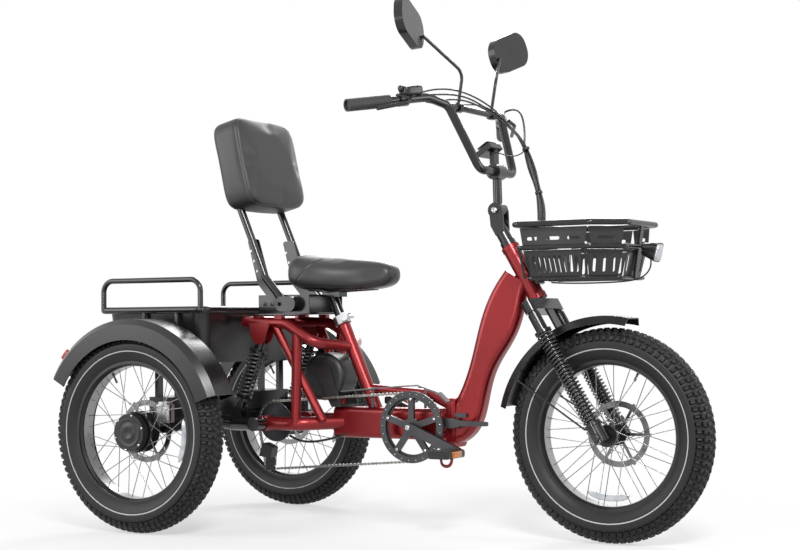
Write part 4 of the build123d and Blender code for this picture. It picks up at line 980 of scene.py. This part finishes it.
# Distance towards the axle, and radius there
valve_profile = ((0, 0), (0, 0.0045), (0.010, 0.0042), (0.012, 0.0030), (0.026, 0.0028), (0.027, 0.0034),
                 (0.034, 0.0034), (0.036, 0.0026), (0.036, 0))


def valve(name, centre, turn, body):
    """The valve's profile of steps, turned about the line from the rim to the axle."""
    outward = np.array([math.cos(turn), 0, math.sin(turn)])
    stem = turned(name, centre + outward * valve_reach, -outward, valve_profile, 20)
    seat_piece(stem, body, cable_black)


def wheel_reflector(name, centre, side, middle_turn, body):
    """A flat strip bent round the axle: 42 degrees long, 18 mm wide and 7 mm thick, with round ends."""
    turn = np.linspace(-reflector_half_turn, reflector_half_turn, reflector_steps) + middle_turn
    across = np.full(reflector_steps, centre[1] + side)
    path = np.stack([centre[0] + reflector_reach * np.cos(turn), across,
                     centre[2] + reflector_reach * np.sin(turn)], axis=1)
    share = np.clip(1 - np.abs(np.linspace(-1, 1, reflector_steps)) ** 8, 0.3, 1)
    angle = np.arange(reflector_sides) * 2 * np.pi / reflector_sides
    section = np.stack(
        [np.sign(np.cos(angle)) * np.abs(np.cos(angle)) ** 0.4 * reflector_half_width,
         np.sign(np.sin(angle)) * np.abs(np.sin(angle)) ** 0.4 * reflector_half_depth], axis=1)
    seat_piece(carried(name, path, section, share), body, clear_reflector)


for wheel, degrees in (("front", 65), ("rear_right", 120), ("rear_left", 120)):
    valve(f"{wheel}_valve", wheel_centres[wheel], math.radians(degrees), body_of_wheel[wheel])
for wheel, word, side, degrees in (
        ("front", "front", -0.004, -93), ("rear_right", "right", -0.004, -8), ("rear_left", "left", 0.004, -8)):
    wheel_reflector(f"{word}_wheel_reflector", wheel_centres[wheel], side, math.radians(degrees),
                    body_of_wheel[wheel])
print("valves and reflectors on", list(wheel_centres))

# %% [markdown]
# ## Pedal reflectors and straps
# Each pedal has an amber block let into its front and its back edge, and a red strap that
# hangs below it: a flat oval carried along a smooth line.
# %% Pedals
pedal_centres = {"right": (0.870, -0.148, 0.236), "left": (0.556, 0.148, 0.366)}
# The strap's points from the pedal's centre: ahead, outwards and up
strap_points = ((-0.026, -0.018, -0.008), (-0.022, -0.006, -0.026), (0.000, 0.012, -0.034),
                (0.022, 0.020, -0.030), (0.030, 0.024, -0.014), (0.028, 0.022, -0.004))
strap_edge = round_profile(1.0, 16) * (0.0045, 0.0011)
for word, (ahead, side, height) in pedal_centres.items():
    for end_sign, end_word in ((-1, "back"), (1, "front")):
        amber_block = block(f"{word}_pedal_{end_word}_reflector", place(ahead + end_sign * 0.0315, side, height),
                            plain_axes, half=(0.0030, 0.026, 0.0085), power=7, rows=14, columns=28)
        seat_piece(amber_block, f"pedal_{word}", amber)
    outward = math.copysign(1, side)
    strap_line = smooth_path([place(ahead + x, side + outward * y, height + z) for x, y, z in strap_points], 60)
    seat_piece(carried(f"{word}_pedal_strap", strap_line, strap_edge), f"pedal_{word}", strap_red)
    print(word, "pedal at", (ahead, side, height))

# %% [markdown]
# ## Teeth and bolts
# Small metal parts tell the eye the size of everything else. The chainring's teeth are an
# edge whose radius rises and falls as it goes round. A bolt's head is a turned button with
# a socket sunk in. Each is made by a small function, as the same bolt comes back often.
# %% Teeth and bolts
crank_ahead, crank_height, ring_side = 0.713, 0.301, -0.0625
to_right = (0, -1, 0)


def toothed_ring(name, centre, inner, root, tip, teeth, half):
    """A ring whose outer radius waves between root and tip, once for each tooth."""
    turn = np.arange(teeth * 8) * 2 * np.pi / (teeth * 8)
    wave = np.clip(0.5 + 0.75 * np.cos(turn * teeth), 0, 1)
    outer = root + (tip - root) * wave
    reach = np.stack([np.full_like(turn, inner), outer, outer, np.full_like(turn, inner)], axis=1)
    side = np.array([-half, -half * 0.5, half * 0.5, half])[None, :] * np.ones((len(turn), 1))
    points = np.stack([centre[0] + reach * np.cos(turn)[:, None], centre[1] + side,
                       centre[2] + reach * np.sin(turn)[:, None]], axis=-1)
    ring = grid_object(name, points, wrap_rows=True)
    ring.data.set_sharp_from_angle(angle=math.radians(35))
    return ring


def button_bolt(name, centre, axis, radius, body, material=bright_steel):
    """A domed head with a round socket: turned from its rim, over the dome, down into the socket."""
    rise = radius * 0.62
    profile = [(-rise * 0.5, 0), (-rise * 0.5, radius), (rise * 0.2, radius), (rise * 0.75, radius * 0.82),
               (rise, radius * 0.5), (rise, radius * 0.46), (rise * 0.25, radius * 0.44), (rise * 0.2, 0)]
    head = turned(name, centre, axis, profile, 24)
    head.data.set_sharp_from_angle(angle=math.radians(50))
    seat_piece(head, body, material)


ring_teeth = toothed_ring("chainring_teeth", place(crank_ahead, ring_side, crank_height), inner=0.080,
                          root=0.0905, tip=0.0965, teeth=46, half=0.0012)
seat_piece(ring_teeth, "crank", dark_steel)
print("teeth", len(ring_teeth.data.polygons), "faces")

# %% [markdown]
# ## Hubs
# The front axle ends in a nut on each side of the fork. Each rear hub has a stepped cap
# on its outer face, turned from a profile, and six screws round it.
# %% Hubs
screw_reach, screw_side, cap_side, nut_side = 0.050, 0.0474, 0.0462, 0.1035
# Distance out from the hub, and radius there
cap_profile = ((0, 0), (0, 0.042), (0.0025, 0.0415), (0.0032, 0.039), (0.0018, 0.036), (0.0016, 0.022),
               (0.0045, 0.0195), (0.0050, 0.016), (0.0030, 0.013), (0.0028, 0))
for word, out in (("right", -1), ("left", 1)):
    button_bolt(f"front_axle_nut_{word}", wheel_centres["front"] + np.array([0, out * nut_side, 0]), (0, out, 0),
                0.0095, "steering", dark_steel)
for wheel, side in (("rear_right", -1), ("rear_left", 1)):
    centre, body = wheel_centres[wheel], body_of_wheel[wheel]
    for k in range(6):
        turn = k * math.pi / 3 + 0.3
        away = np.array([screw_reach * math.cos(turn), side * screw_side, screw_reach * math.sin(turn)])
        button_bolt(f"{wheel}_hub_screw_{k}", centre + away, (0, side, 0), 0.0036, body)
    cap_face = turned(f"{wheel}_hub_cap_face", centre + np.array([0, side * cap_side, 0]), (0, side, 0),
                      cap_profile, 64)
    seat_piece(cap_face, body, motor_black)
    print(wheel, "hub done")

# %% [markdown]
# ## Stem, switch box and cable ends
# A bolt on each side holds the stem's pivot. The switch box sits on the bar inside the
# right grip: a rounded block with a knob on its end and a dark face, set along the bar's
# own directions. A cable leaves its lever through a short barrel.
# %% Stem and switch box
for word, out in (("right", -1), ("left", 1)):
    button_bolt(f"stem_pivot_{word}", place(0.961, out * 0.0240, 0.909), (0, out, 0), 0.0095, "steering")
bar_start = place(0.862, -0.222, 1.210)
bar_along = np.array([-0.436, -0.887, -0.148])
bar_ahead = np.array([0.9, -0.44, -0.02])
bar_rise = np.cross(bar_along, bar_ahead)
bar_rise *= np.sign(bar_rise[2])
bar_axes = (bar_along, bar_ahead, bar_rise)


def on_bar(along, above):
    """A point this far along the bar from its bend, and this far above its middle."""
    return bar_start + bar_along * along + bar_rise * above


switch_box = block("switch_box", on_bar(0.052, 0.022), bar_axes, half=(0.030, 0.021, 0.013), power=5)
seat_piece(switch_box, "handlebar", moulded_plastic)
switch_knob = turned("switch_knob", on_bar(0.078, 0.030), bar_along,
                     [(-0.006, 0), (-0.006, 0.008), (0.006, 0.0095), (0.010, 0.0085), (0.010, 0)], 32)
seat_piece(switch_knob, "handlebar", moulded_plastic)
switch_face = block("switch_face", on_bar(0.045, 0.0352), bar_axes, half=(0.016, 0.012, 0.0008))
seat_piece(switch_face, "handlebar", screen_glass)
barrel_profile = ((-0.004, 0), (-0.004, 0.0042), (0.010, 0.0042), (0.014, 0.0034), (0.020, 0.0030), (0.020, 0))
for k, name in enumerate(("front_brake_hose", "rear_brake_hose", "shifter_cable")):
    first, second = (place(*runs[name][j]) for j in (0, 1))
    barrel = turned(f"cable_barrel_{k}", first, second - first, barrel_profile, 20)
    seat_piece(barrel, "handlebar", moulded_plastic)
print("switch box at", on_bar(0.052, 0.022).round(3))

# %% [markdown]
# ## Bolts of the bars, the back rest and the crank
# The last bolts hold the bar clamp, the back rest's bracket, the crank, and the chainring
# on its five arms. Small rivets run round the edge of the chainring's guard.
# %% Last bolts
for k, out in enumerate((-0.020, 0.020)):
    button_bolt(f"bar_clamp_bolt_{k}", place(0.973, out, 1.0342), (0.5, 0, 0.86), 0.0052, "handlebar")
for k, ahead in enumerate((0.262, 0.286)):
    button_bolt(f"backrest_bolt_{k}", place(ahead, -0.1385, 0.655), to_right, 0.0062, "rear_frame", dark_steel)
button_bolt("crank_bolt", place(crank_ahead, -0.0900, crank_height), to_right, 0.0085, "crank")


def bolt_circle(name, count, first_turn, reach, side, radius):
    """Bolts at even turns on a circle round the crank's axle, their heads to the right."""
    for k in range(count):
        turn = k * 2 * math.pi / count + first_turn
        spot = place(crank_ahead + reach * math.cos(turn), side, crank_height + reach * math.sin(turn))
        button_bolt(f"{name}_{k}", spot, to_right, radius, "crank")


bolt_circle("chainring_bolt", 5, math.radians(90), reach=0.079, side=-0.0712, radius=0.0048)
bolt_circle("guard_rivet", 25, 0.1, reach=0.0945, side=-0.0701, radius=0.0016)
